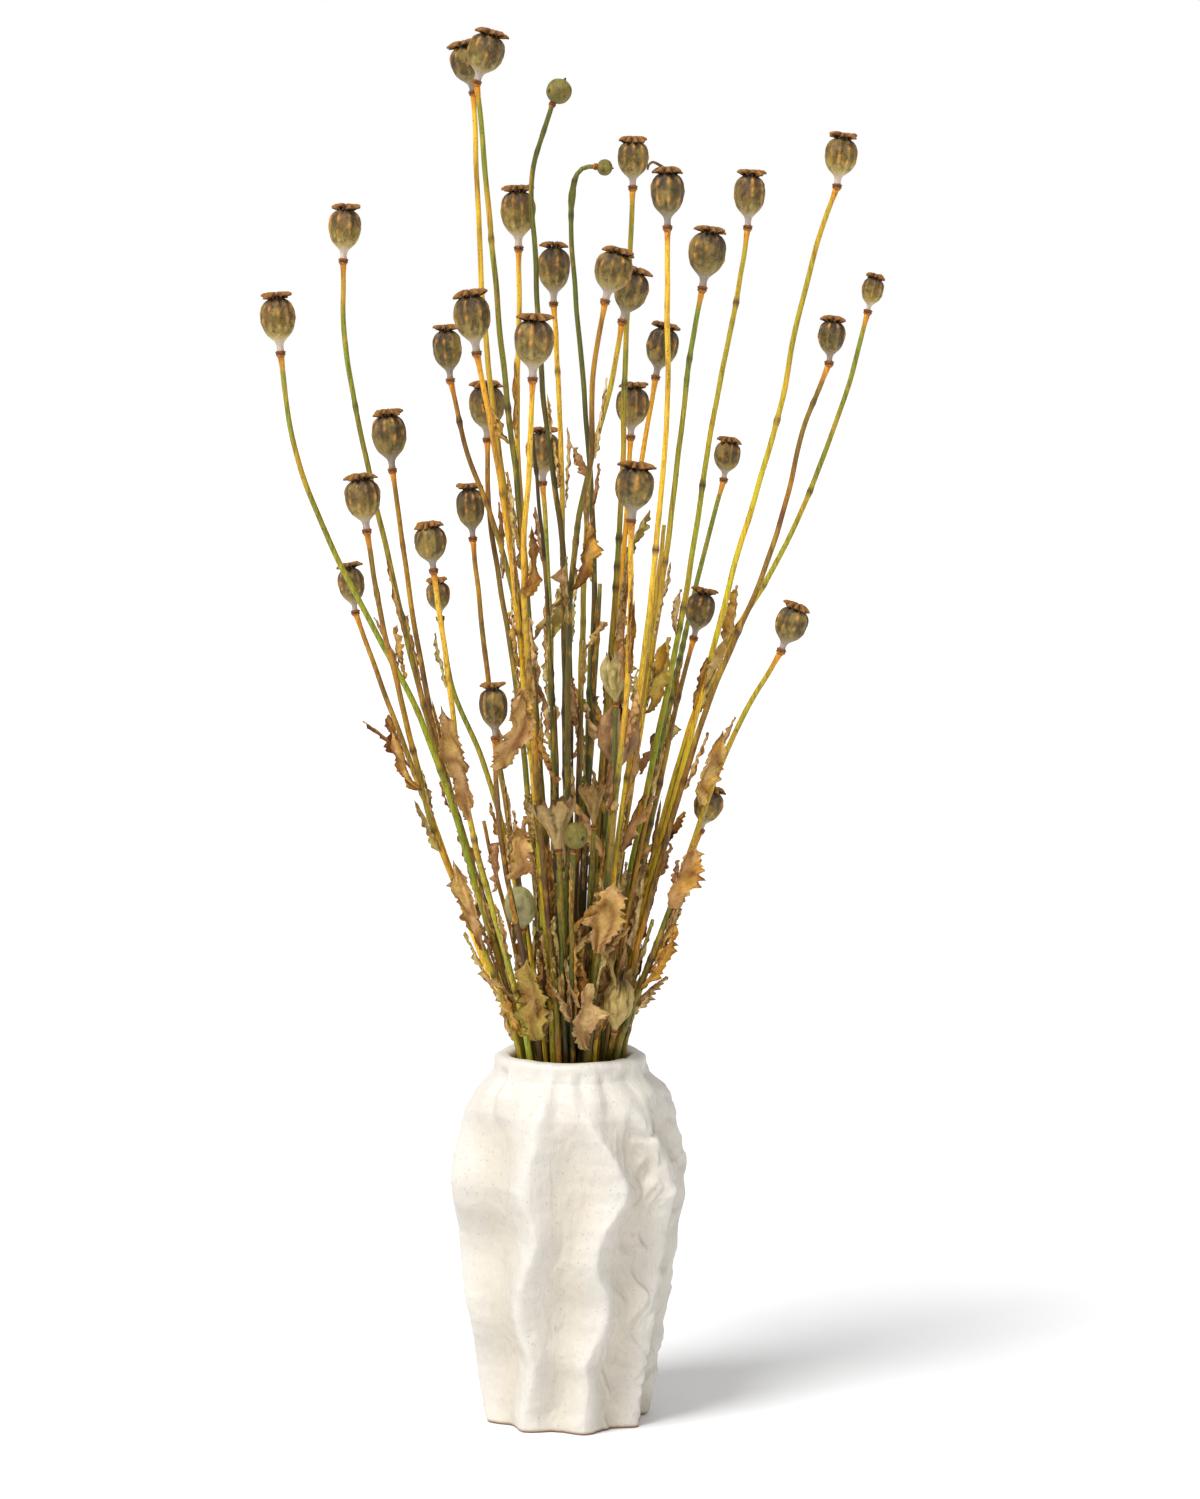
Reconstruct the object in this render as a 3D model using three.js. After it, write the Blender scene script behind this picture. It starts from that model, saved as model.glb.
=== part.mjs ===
// A bunch of dried poppy stems with their seed heads, standing in a hand-modelled ribbed vase.
// Millimetres, +Z up. The origin is the middle of the vase's flat underside, and -Y is the front.
import * as THREE from "three";

// The vase: a short plain rim band over a bulging body with eight wandering ribs.
const vaseHeight = 243;
const rimRadius = 50;
const mouthRadius = 39;
const bandBottom = 229; // the rim band ends here and the shoulder starts
const floorThickness = 9;
const wallThickness = 6;
const ribCount = 8;
const ribStarts = [17, 57, 102, 147, 192, 237, 284, 335]; // degrees round from the front, towards +X
const ribSwing = 7; // degrees that a rib wanders to either side
const swingLength = 88; // height of one full swing
const troughDepth = 9;
const columnsPerRib = 6;
const crestOutline = [
  // height, radius at the crest of a rib
  [0, 54], [14, 55.5], [38, 59.5], [66, 64], [96, 69], [114, 72], [144, 75.5],
  [162, 77], [188, 73], [208, 69.5], [220, 62], [bandBottom, 51.5],
];

// The stems and heads.
const footHeight = floorThickness + 3; // the cut ends stand just above the vase's floor
const footRadius = 2.3;
const neckRadius = 1.45; // of a stem just below its head
const stemSides = 6;
const bendStep = 48; // stem length between two bends of its solid
const fanApex = 130; // the stems fan out as if from this height
const fanDepthShare = 0.2; // how much of a head's depth its stem keeps at the mouth

// How close pieces may come while the bunch settles.
const levelStep = 6;
const stemGap = 2;
const wallGap = 1.8;
const settleRounds = 500;
const freeShaft = { x: 0, y: 27, radius: 11.4, top: 262 }; // left open behind the stems, down to the floor

// Each poppy: node name, the joint ring under its head [x, y, z], the head's lean towards +X in
// degrees, its diameter, its height above the ring, its kind, and the stem's bends [x, z] from
// the top down. Below its last bend a stem runs on to its place in the vase's mouth.
const poppies = [
  ["poppy_01", [-62, 25, 866], -12, 20.3, 34, "crowned", [[-55, 713], [-46, 636], [-35, 551]]],
  ["poppy_02", [-59, -10, 871], 17, 21.4, 35, "crowned", [[-55, 828], [-45, 719], [-33, 606], [-28, 545]]],
  ["poppy_03", [-11, 15, 858], 27, 16.3, 18, "bud", [[-19, 846], [-23, 830], [-23, 789], [-17, 674], [-2, 544]]],
  ["poppy_04", [17, 0, 818], 95, 10.4, 11, "hooked", [[2, 803], [1, 775], [8, 692], [16, 560]]],
  ["poppy_05", [41, 20, 805], 0, 18.3, 33, "crowned", [[40, 774], [35, 658], [34, 610]]],
  ["poppy_06", [62, -80, 778], 0, 19.4, 38, "crowned", [[62, 727], [62, 661], [53, 554]]],
  ["poppy_07", [117, 70, 780], 3, 19.6, 38, "crowned", [[112, 746], [93, 648], [78, 550]]],
  ["poppy_08", [171, -20, 805], 7, 19, 34, "crowned", [[151, 742], [135, 662], [110, 575], [84, 472]]],
  ["poppy_09", [194, 30, 725], 12, 12.9, 25, "crowned", [[178, 667], [146, 584], [120, 536], [87, 478]]],
  ["poppy_10", [165, -50, 693], 5, 16.6, 30, "crowned", [[150, 655], [140, 611], [124, 558], [88, 470]]],
  ["poppy_11", [85, -30, 740], 8, 21.6, 40, "crowned", [[79, 711], [72, 652], [60, 553]]],
  ["poppy_12", [-33, 30, 766], -1, 21.2, 41, "crowned", [[-33, 719], [-34, 650], [-31, 589]]],
  ["poppy_13", [-11, 90, 730], 1, 19.9, 41, "crowned", [[-7, 660], [-5, 579]]],
  ["poppy_14", [23, -60, 732], 15, 21.7, 35, "crowned", [[16, 703], [15, 645], [2, 560]]],
  ["poppy_15", [34, -20, 719], 16, 20.7, 36, "crowned", [[26, 674], [14, 629], [11, 590]]],
  ["poppy_16", [57, 110, 681], 12, 20.2, 37, "crowned", [[52, 650], [45, 610]]],
  ["poppy_17", [-147, 30, 758], 3, 19.7, 37, "crowned", [[-146, 704], [-132, 628], [-114, 547], [-101, 490]]],
  ["poppy_18", [-184, -30, 699], -4, 20.5, 39, "crowned",
    [[-180, 660], [-163, 599], [-134, 538], [-99, 471], [-82, 425], [-51, 320]]],
  ["poppy_19", [-57, -100, 700], -7, 22.2, 40, "crowned", [[-51, 669], [-43, 620], [-37, 578]]],
  ["poppy_20", [-77, 10, 681], -5, 17, 36, "crowned", [[-69, 643], [-50, 591], [-38, 552]]],
  ["poppy_21", [-22, -110, 684], 2, 22.9, 41, "crowned", [[-24, 639], [-28, 557]]],
  ["poppy_22", [-56, 120, 639], -1, 22.8, 40, "crowned", [[-53, 577], [-38, 491]]],
  ["poppy_23", [40, 50, 643], 3, 19.8, 36, "crowned", [[38, 602]]],
  ["poppy_24", [-19, 140, 609], 1, 21.7, 38, "crowned", [[-16, 568]]],
  ["poppy_25", [39, -130, 597], 6, 23.2, 37, "crowned", [[39, 560], [37, 500], [28, 400]]],
  ["poppy_26", [-118, 80, 620], -5, 20.5, 41, "crowned", [[-112, 579], [-101, 505], [-80, 412]]],
  ["poppy_27", [-128, -60, 587], -7, 21, 37, "crowned", [[-120, 534], [-105, 469], [-89, 399]]],
  ["poppy_28", [-65, 90, 574], -4, 18.1, 37, "crowned", [[-60, 531], [-52, 460]]],
  ["poppy_29", [-84, -110, 565], -6, 18, 31, "crowned", [[-77, 509], [-66, 418], [-55, 367]]],
  ["poppy_30", [-82, -50, 531], -5, 13.9, 26, "crowned", [[-77, 494], [-56, 439], [-40, 377]]],
  ["poppy_31", [-142, 60, 527], -8, 16.4, 33, "crowned", [[-124, 478], [-91, 392], [-55, 295]]],
  ["poppy_32", [103, 120, 612], 8, 16.2, 29, "crowned", [[94, 581], [84, 541]]],
  ["poppy_33", [82, 70, 509], 13, 18.2, 34, "crowned", [[76, 489], [66, 445]]],
  ["poppy_34", [135, -60, 511], 20, 19.6, 32, "crowned", [[105, 456], [85, 402], [70, 353], [54, 310]]],
  ["poppy_35", [-46, -100, 459], -3, 16, 35, "crowned", [[-44, 400]]],
  ["poppy_36", [85, -10, 390], 17, 17.5, 30, "crowned", [[76, 365]]],
  ["poppy_37", [3, -80, 385], 8, 15.5, 19, "bud", [[2, 370]]],
  ["poppy_38", [-8, -62, 384], -6, 23, 34, "torn", [[-4, 340]]],
  ["poppy_39", [16, -55, 398], -3, 12.8, 28, "torn", [[14, 360]]],
  ["poppy_40", [-32, -48, 329], -7, 19.5, 29, "bud", [[-30, 310]]],
  ["poppy_41", [29, -36, 262], 8, 18.5, 36, "husk", [[27, 252]]],
  ["poppy_42", [31, -50, 432], 4, 24, 44, "husk", [[28, 400]]],
  ["poppy_43", [31, -95, 480], -6, 14.5, 32, "husk", [[30, 440]]],
];

// Outlines of the heads, from the ring up: share of the diameter's half, share of the height.
const headOutlines = {
  crowned: [
    [0.24, 0.06], [0.27, 0.16], [0.7, 0.31], [1, 0.52], [0.93, 0.7], [0.52, 0.85],
    [0.44, 0.92], [0.98, 0.93], [0.9, 1],
  ],
  bud: [[0.24, 0.05], [0.8, 0.24], [1, 0.52], [0.75, 0.82], [0.25, 0.98]],
  hooked: [[0.34, 0.05], [0.85, 0.3], [1, 0.55], [0.6, 0.92]],
  torn: [[0.2, 0.08], [0.42, 0.35], [0.72, 0.62], [1, 0.9], [0.8, 1]],
  husk: [[0.2, 0.06], [0.78, 0.25], [1, 0.5], [0.72, 0.8], [0.25, 0.97]],
};
const ringRadius = 2.7;
const hookRise = [[5, 811], [11, 816.5]]; // where the hooked stem turns over, [x, z]

// Each dried leaf lies on the outside of the bunch: node name, the way it faces in degrees from
// the front towards +X, its place across that way, its middle height, width, length, and roll.
const leaves = [
  ["leaf_01", -20, -88, 446, 12, 46, 10],
  ["leaf_02", 0, -72, 444, 15, 70, 14],
  ["leaf_03", -10, -58, 346, 16, 56, 14],
  ["leaf_04", 0, -33, 468, 22, 46, -6],
  ["leaf_05", 0, -31, 385, 13, 32, 4],
  ["leaf_06", 0, -24, 286, 20, 52, 6],
  ["leaf_07", 0, 24, 342, 28, 46, -14],
  ["leaf_08", 0, 9, 276, 17, 42, -8],
  ["leaf_09", 20, 52, 366, 18, 38, -16],
  ["leaf_10", 10, 78, 437, 15, 46, -16],
  ["leaf_11", 30, 44, 312, 14, 38, -18],
  ["leaf_12", 0, -21, 572, 11, 40, 4],
  ["leaf_13", 0, 13, 574, 14, 38, -6],
  ["leaf_14", 180, 28, 470, 18, 52, 8],
  ["leaf_15", 0, 62, 496, 16, 42, -12],
  ["leaf_16", 180, -20, 360, 20, 48, -8],
];
const leafThickness = 0.9;
const leafGap = 1.6; // to the nearest stem or head
const leafCurl = 7; // how far a tip bends away from the bunch

const paint = {
  vase: [0xf1ece3, 0.75], crowned: [0x9a8d68, 0.7], bud: [0x7f8a52, 0.6],
  hooked: [0x8b8a63, 0.65], torn: [0xa58d68, 0.8], husk: [0x9a8664, 0.8], leaf: [0xc09a5a, 0.85],
};

const clamp = THREE.MathUtils.clamp;
const radians = THREE.MathUtils.degToRad;

function material(kind) {
  const [color, roughness] = paint[kind];
  return new THREE.MeshStandardMaterial({ color, roughness, metalness: 0 });
}

function piece(name, geometry, kind) {
  const mesh = new THREE.Mesh(geometry, material(kind));
  mesh.name = name;
  return mesh;
}

// A value read off a list of [position, value] pairs, straight between them.
function readOff(list, position) {
  const next = list.findIndex(([p]) => p >= position);
  if (next <= 0) return next === 0 ? list[0][1] : list[list.length - 1][1];
  const [[p0, v0], [p1, v1]] = [list[next - 1], list[next]];
  return v0 + ((v1 - v0) * (position - p0)) / (p1 - p0);
}

// ---- the vase ----

// Paths of the three ribs at the front: height and degrees round from the front.
const ribPaths = {
  0: [[0, 10.5], [22, 12.5], [42, 11], [60, 19], [81, 21.7], [107, 14.6], [131, 18], [157, 28.5], [175, 24.7], [210, 9]],
  1: [[5, 55], [40, 58], [75, 53.5], [121, 62], [140, 59.6], [181, 55], [212, 42]],
  7: [[0, 327], [17, 333], [40, 336.5], [63, 330], [86, 331], [123, 343], [155, 337.6], [202, 342.5]],
};

// Angle of a rib at a height: neighbouring ribs swing opposite ways, so the troughs between them
// widen and narrow in turn.
function ribAngle(rib, z) {
  if (ribPaths[rib]) return radians(readOff(ribPaths[rib], z));
  const side = rib % 2 === 0 ? 1 : -1;
  const fade = clamp((bandBottom - z) / 30, 0, 1);
  const swing = side * ribSwing * fade * Math.sin((2 * Math.PI * (z - 140)) / swingLength);
  return radians(ribStarts[rib] + swing);
}

function troughAt(z) {
  const belowBand = clamp((bandBottom - z) / 45, 0, 1);
  const nearFoot = clamp((z + 60) / 100, 0, 1);
  return troughDepth * belowBand * nearFoot;
}

function innerRadius(z) {
  if (z >= bandBottom) return mouthRadius;
  const body = readOff(crestOutline, z) - troughDepth - wallThickness;
  const nearMouth = clamp((bandBottom - z) / 40, 0, 1);
  return mouthRadius + (body - mouthRadius) * nearMouth;
}

function makeVase() {
  const outside = crestOutline.map(([z]) => ({ z, ribbed: true, radius: readOff(crestOutline, z) }));
  const rim = [
    { z: bandBottom + 3, radius: rimRadius },
    { z: vaseHeight - 4, radius: rimRadius },
    { z: vaseHeight, radius: rimRadius - 3.5 },
    { z: vaseHeight, radius: mouthRadius + 2.5 },
    { z: vaseHeight - 3, radius: mouthRadius },
  ];
  const inside = [bandBottom, 205, 180, 150, 110, 60, floorThickness + 6].map((z) => ({
    z,
    radius: innerRadius(z),
  }));
  const floorEdge = { z: floorThickness, radius: innerRadius(floorThickness) - 6 };
  const rows = [{ z: 0, radius: 0 }, ...outside, ...rim, ...inside, floorEdge];
  rows.push({ z: floorThickness, radius: 0 });
  const columns = ribCount * columnsPerRib;
  const shell = new THREE.LatheGeometry(rows.map((row) => new THREE.Vector2(row.radius, row.z)), columns);
  const position = shell.getAttribute("position");
  for (let i = 0; i < position.count; i++) {
    const row = rows[i % rows.length];
    const column = Math.floor(i / rows.length) % columns;
    const rib = Math.floor(column / columnsPerRib);
    const across = (column % columnsPerRib) / columnsPerRib;
    const from = ribAngle(rib, row.z);
    const to = ribAngle((rib + 1) % ribCount, row.z) + (rib + 1 === ribCount ? 2 * Math.PI : 0);
    const angle = from + (to - from) * across;
    const sunk = row.ribbed ? troughAt(row.z) * Math.sin(Math.PI * across) : 0;
    const radius = row.radius - sunk;
    position.setXYZ(i, radius * Math.sin(angle), -radius * Math.cos(angle), row.z);
  }
  return piece("vase", shell, "vase");
}

// ---- the bunch ----

// The place where a stem passes the mouth, from the fan that its lowest bend lies on.
function mouthPlace(ring, bends) {
  const [x, z] = bends[bends.length - 1];
  const place = new THREE.Vector2((x * (vaseHeight - fanApex)) / (z - fanApex), ring[1] * fanDepthShare);
  return place.clampLength(0, mouthRadius - footRadius - 4);
}

// A poppy before it settles: where its stem would like to be at each level, and how thick it is.
function plan([name, ring, lean, diameter, headHeight, kind, bends]) {
  const mouth = mouthPlace(ring, bends);
  const hooked = kind === "hooked";
  const stemTop = hooked ? bends[0][1] : ring[2];
  const depthAt = (z) => mouth.y + (ring[1] - mouth.y) * clamp((z - vaseHeight) / (ring[2] - vaseHeight), 0, 1);
  const guide = [
    new THREE.Vector3(mouth.x * 0.85, mouth.y * 0.85, footHeight),
    new THREE.Vector3(mouth.x * 0.92, mouth.y * 0.92, vaseHeight / 2),
    new THREE.Vector3(mouth.x, mouth.y, vaseHeight - 5),
    ...bends.map(([x, z]) => new THREE.Vector3(x, depthAt(z), z)).reverse(),
  ];
  if (!hooked) guide.push(new THREE.Vector3(...ring));
  const samples = new THREE.CatmullRomCurve3(guide, false, "centripetal").getPoints(500);
  const slope = hooked ? 0 : Math.tan(radians(lean));
  const headTop = hooked ? stemTop : ring[2] + headHeight * Math.cos(radians(lean));
  const outline = [[0, ringRadius], ...headOutlines[kind].map(([r, h]) => [h * headHeight, (r * diameter) / 2])];
  const levels = [];
  let sample = 0;
  for (let z = footHeight; z <= headTop; z += levelStep) {
    const inHead = z > stemTop;
    while (!inHead && sample < samples.length - 2 && samples[sample + 1].z < z) sample++;
    const [low, high] = [samples[sample], samples[sample + 1]];
    const share = clamp((z - low.z) / (high.z - low.z), 0, 1);
    const at = inHead
      ? new THREE.Vector3(ring[0] + slope * (z - stemTop), ring[1], z)
      : low.clone().lerp(high, share);
    const radius = inHead
      ? Math.max(readOff(outline, z - stemTop), readOff(outline, z - stemTop + levelStep))
      : stemRadius((z - footHeight) / (stemTop - footHeight));
    levels.push({ wish: new THREE.Vector2(at.x, at.y), radius, inHead, shift: new THREE.Vector2() });
  }
  const ringLevel = levels.findIndex((level) => level.inHead);
  return { name, ring, lean, diameter, headHeight, kind, levels, stemTop,
    ringLevel: ringLevel < 0 ? levels.length - 1 : ringLevel };
}

function stemRadius(share) {
  return footRadius + (neckRadius - footRadius) * clamp(share, 0, 1);
}

const placeOf = (level) => level.wish.clone().add(level.shift);

// Moves two crossing poppies apart at one level, mostly in depth, where they came too close.
function partPair(a, b) {
  const [pa, pb] = [placeOf(a), placeOf(b)];
  const dx = pa.x - pb.x;
  const dy = pa.y - pb.y;
  const need = (a.radius + b.radius) * 1.06 + stemGap;
  if (Math.abs(dx) >= need || Math.abs(dy) >= need) return;
  const apart = Math.hypot(dx, dy);
  if (apart >= need) return;
  const side = Math.abs(dy) > 0.05 ? Math.sign(dy) : Math.sign(a.wish.y - b.wish.y) || 1;
  const depth = side * (need - apart) * 0.5;
  const across = (Math.sign(dx) || 1) * (need - apart) * 0.12;
  a.push.y += depth;
  b.push.y -= depth;
  a.push.x += across;
  b.push.x -= across;
}

function keepInside(level, z) {
  const place = placeOf(level);
  if (z < freeShaft.top) {
    const away = new THREE.Vector2(place.x - freeShaft.x, place.y - freeShaft.y);
    const lack = freeShaft.radius + level.radius + wallGap - away.length();
    if (lack > 0) level.push.add(away.normalize().multiplyScalar(lack));
  }
  if (z < vaseHeight + 4) {
    const room = Math.min(innerRadius(z), mouthRadius) - level.radius - wallGap;
    if (place.length() > room) level.push.add(place.clone().setLength(room).sub(place));
  }
}

function settle(bunch) {
  const most = Math.max(...bunch.map((p) => p.levels.length));
  for (let round = 0; round < settleRounds; round++) {
    for (const poppy of bunch) for (const level of poppy.levels) level.push = new THREE.Vector2();
    for (let i = 0; i < most; i++) {
      const here = bunch.filter((p) => i < p.levels.length).map((p) => p.levels[i]);
      here.forEach((a, n) => here.slice(n + 1).forEach((b) => partPair(a, b)));
      here.forEach((level) => keepInside(level, footHeight + i * levelStep));
    }
    for (const poppy of bunch) moveOn(poppy);
  }
}

// Applies the pushes of one round: a head moves as one, and a stem bends smoothly.
function moveOn({ levels, ringLevel }) {
  const head = levels.slice(ringLevel);
  const headPush = new THREE.Vector2();
  for (const level of head) {
    if (Math.abs(level.push.y) > Math.abs(headPush.y)) headPush.copy(level.push);
  }
  for (const level of levels) level.shift.add(level.inHead ? headPush : level.push);
  levels[ringLevel].shift.copy(head[head.length - 1].shift);
  const before = levels.map((level) => level.shift.clone());
  for (let i = 0; i < ringLevel; i++) {
    const under = before[Math.max(i - 1, 0)];
    const over = before[i + 1];
    const even = under.clone().add(over).multiplyScalar(0.5);
    levels[i].shift.lerp(even, 0.8);
  }
  for (const level of head) level.shift.copy(levels[ringLevel].shift);
}

// The middle line of a settled poppy, from its cut foot to the top of its head.
function middleLine({ levels, ringLevel, ring, lean, headHeight, kind, stemTop }) {
  const points = [];
  const every = Math.round(bendStep / levelStep / 2);
  for (let i = 0; i < ringLevel - 3; i += every) {
    const place = placeOf(levels[i]);
    points.push(new THREE.Vector3(place.x, place.y, footHeight + i * levelStep));
  }
  const shift = levels[ringLevel].shift;
  const base = new THREE.Vector3(ring[0] + shift.x, ring[1] + shift.y, ring[2]);
  if (kind === "hooked") {
    const top = placeOf(levels[ringLevel]);
    points.push(new THREE.Vector3(top.x, top.y, stemTop));
    for (const [x, z] of hookRise) points.push(new THREE.Vector3(x + shift.x, base.y, z));
  }
  const axis = new THREE.Vector3(Math.sin(radians(lean)), 0, Math.cos(radians(lean)));
  for (const share of [0, 0.5, 1]) points.push(base.clone().addScaledVector(axis, headHeight * share));
  return new THREE.CatmullRomCurve3(points, false, "centripetal");
}

// One poppy is one grown piece: the outline of stem and head is turned, then bent along its line.
function makePoppy(poppy) {
  const line = middleLine(poppy);
  line.arcLengthDivisions = 600;
  const length = line.getLength();
  const ringAt = length - poppy.headHeight;
  const outline = [[0, 0], [footRadius, 0]];
  const bendCount = Math.max(2, Math.round(ringAt / bendStep));
  for (let i = 1; i < bendCount; i++) outline.push([stemRadius(i / bendCount), (ringAt * i) / bendCount]);
  outline.push([neckRadius, ringAt - 2], [ringRadius, ringAt]);
  for (const [r, h] of headOutlines[poppy.kind]) {
    outline.push([(r * poppy.diameter) / 2, ringAt + h * poppy.headHeight]);
  }
  outline.push([0, length]);
  const solid = new THREE.LatheGeometry(outline.map(([r, h]) => new THREE.Vector2(r, h)), stemSides);
  const position = solid.getAttribute("position");
  const vertex = new THREE.Vector3();
  const front = new THREE.Vector3(0, -1, 0);
  for (let i = 0; i < position.count; i++) {
    vertex.fromBufferAttribute(position, i);
    const share = clamp(vertex.y / length, 0, 1);
    const along = line.getTangentAt(share);
    const side = new THREE.Vector3().crossVectors(along, front).normalize();
    const forward = new THREE.Vector3().crossVectors(side, along);
    const place = line.getPointAt(share).addScaledVector(side, vertex.x).addScaledVector(forward, vertex.z);
    position.setXYZ(i, place.x, place.y, place.z);
  }
  return piece(poppy.name, solid, poppy.kind);
}

// ---- the leaves ----

// How far out the bunch reaches on one side, between two heights and across a width.
function reach(bunch, facing, across, halfWidth, low, high) {
  const out = new THREE.Vector2(Math.sin(facing), -Math.cos(facing));
  const sideways = new THREE.Vector2(Math.cos(facing), Math.sin(facing));
  let most = -Infinity;
  for (const { levels } of bunch) {
    levels.forEach((level, i) => {
      const z = footHeight + i * levelStep;
      const place = placeOf(level);
      const off = Math.abs(place.dot(sideways) - across);
      if (z < low || z > high || off > halfWidth + level.radius + leafGap) return;
      most = Math.max(most, place.dot(out) + level.radius);
    });
  }
  return most;
}

// A curled blade that lies on the bunch: narrow at its foot, widest above the middle.
function makeLeaf(bunch, [name, facingDegrees, across, middle, width, length, roll]) {
  const facing = radians(facingDegrees);
  const out = new THREE.Vector3(Math.sin(facing), -Math.cos(facing), 0);
  const sideways = new THREE.Vector3(Math.cos(facing), Math.sin(facing), 0);
  const blade = new THREE.BoxGeometry(width, length, leafThickness, 2, 5, 1);
  const position = blade.getAttribute("position");
  const tilt = Math.tan(radians(roll));
  const low = middle - length / 2;
  const rest = [0, 0.25, 0.5, 0.75, 1].map((share) => {
    const z = low + share * length;
    return [share, reach(bunch, facing, across - tilt * (share - 0.5) * length, width / 2, z - 16, z + 16)];
  });
  const deepest = Math.max(...rest.map(([, r]) => r));
  for (let i = 0; i < position.count; i++) {
    const share = position.getY(i) / length + 0.5;
    const spread = 0.25 + 0.75 * Math.sin(Math.PI * Math.pow(clamp(share, 0.02, 0.94), 0.8));
    const x = position.getX(i) * spread;
    const lie = Math.max(readOff(rest, share), deepest - 14);
    const curl = leafCurl * share * share + 1.6 * Math.abs(x / width) * 2;
    const depth = lie + leafGap + leafThickness / 2 + curl + position.getZ(i);
    const place = out.clone().multiplyScalar(depth);
    place.addScaledVector(sideways, across - tilt * (share - 0.5) * length + x);
    position.setXYZ(i, place.x, place.y, low + share * length);
  }
  return piece(name, blade, "leaf");
}

const bunch = poppies.map(plan);
settle(bunch);

const group = new THREE.Group();
group.add(makeVase());
for (const poppy of bunch) group.add(makePoppy(poppy));
for (const leaf of leaves) group.add(makeLeaf(bunch, leaf));

export default group;
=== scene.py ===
# Dried poppy seed heads in a hand-modelled ribbed vase. Metres, +Z up, the front faces -Y.
import math
import random

import bmesh
import bpy
import numpy as np
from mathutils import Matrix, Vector, noise


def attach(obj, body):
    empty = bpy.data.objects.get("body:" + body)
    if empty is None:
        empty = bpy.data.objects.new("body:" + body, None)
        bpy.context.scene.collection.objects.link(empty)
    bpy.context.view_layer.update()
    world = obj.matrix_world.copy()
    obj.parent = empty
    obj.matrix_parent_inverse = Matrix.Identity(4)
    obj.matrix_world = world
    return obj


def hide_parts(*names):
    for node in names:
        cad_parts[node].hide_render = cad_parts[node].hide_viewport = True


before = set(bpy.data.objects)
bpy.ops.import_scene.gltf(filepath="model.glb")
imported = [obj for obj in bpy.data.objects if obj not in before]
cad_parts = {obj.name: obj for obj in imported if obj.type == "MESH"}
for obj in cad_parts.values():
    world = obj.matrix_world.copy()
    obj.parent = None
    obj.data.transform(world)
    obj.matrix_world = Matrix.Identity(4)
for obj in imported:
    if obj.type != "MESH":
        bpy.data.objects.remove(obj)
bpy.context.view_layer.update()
mm = 0.001


def clamp(value, low=0.0, high=1.0):
    return max(low, min(high, value))


def ease(start, end, value):  # 0 before start, 1 after end, smooth between
    t = clamp((value - start) / (end - start))
    return t * t * (3 - 2 * t)


def colour(red, green, blue):  # screen values 0 to 255, made linear
    def linear(v):
        v /= 255
        return v / 12.92 if v <= 0.04045 else ((v + 0.055) / 1.055) ** 2.4
    return np.array([linear(red), linear(green), linear(blue)])


def blend(a, b, share):
    return a * (1 - share) + b * share


def wobble(x, y=0.0, z=0.0):  # smooth noise, about -1 to 1
    return noise.noise(Vector((x, y, z)))


def wobbleRound(angle, reach, level):  # smooth noise round a closed ring
    return wobble(math.sin(angle) * reach, math.cos(angle) * reach, level)


def directionsOf(line):  # the unit direction of a line at each of its points
    alongs = np.gradient(line, axis=0)
    return alongs / np.linalg.norm(alongs, axis=1)[:, None]


def lengthOf(line):
    return float(np.linalg.norm(np.diff(line, axis=0), axis=1).sum())


def settle(made, node):  # put a visual piece on the body, for the CAD node that it stands for
    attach(made, "root")
    if node:
        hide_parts(node)


def smoothThrough(points, count):  # a smooth line through the points, evenly spaced
    pts = np.array(points, float)
    ext = np.vstack([2 * pts[0] - pts[1], pts, 2 * pts[-1] - pts[-2]])
    fine = []
    steps = 24
    for i in range(len(pts) - 1):
        a, b, c, d = ext[i:i + 4]
        for k in range(steps):
            t = k / steps
            fine.append(0.5 * (2 * b + (c - a) * t + (2 * a - 5 * b + 4 * c - d) * t * t
                               + (3 * b - a - 3 * c + d) * t ** 3))
    fine.append(pts[-1])
    fine = np.array(fine)
    run = np.concatenate([[0], np.cumsum(np.linalg.norm(np.diff(fine, axis=0), axis=1))])
    at = np.linspace(0, run[-1], count)
    return np.stack([np.interp(at, run, fine[:, k]) for k in range(fine.shape[1])], axis=1)


def gridFaces(rows, columns, start=0, closed=True, flip=False):
    faces = []
    for r in range(rows - 1):
        for c in range(columns if closed else columns - 1):
            n = (c + 1) % columns
            quad = (start + r * columns + c, start + r * columns + n,
                    start + (r + 1) * columns + n, start + (r + 1) * columns + c)
            faces.append(quad[::-1] if flip else quad)
    return faces


def anglesOf(sides):
    return [math.tau * k / sides for k in range(sides)]


def tubeFaces(rows, sides):  # a closed tube with both ends capped
    last = (rows - 1) * sides
    return gridFaces(rows, sides) + [tuple(range(sides))[::-1], tuple(range(last, last + sides))]


def wallFaces(rows, sides, flip=False):  # two skins of the same rows, joined along their last row
    inner, edge, other = rows * sides, (rows - 1) * sides, (2 * rows - 1) * sides
    faces = gridFaces(rows, sides) + gridFaces(rows, sides, inner, flip=True)
    faces += [(edge + k, edge + (k + 1) % sides, other + (k + 1) % sides, other + k) for k in range(sides)]
    faces += [tuple(range(sides))[::-1], tuple(range(inner, inner + sides))]
    return [face[::-1] for face in faces] if flip else faces


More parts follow.
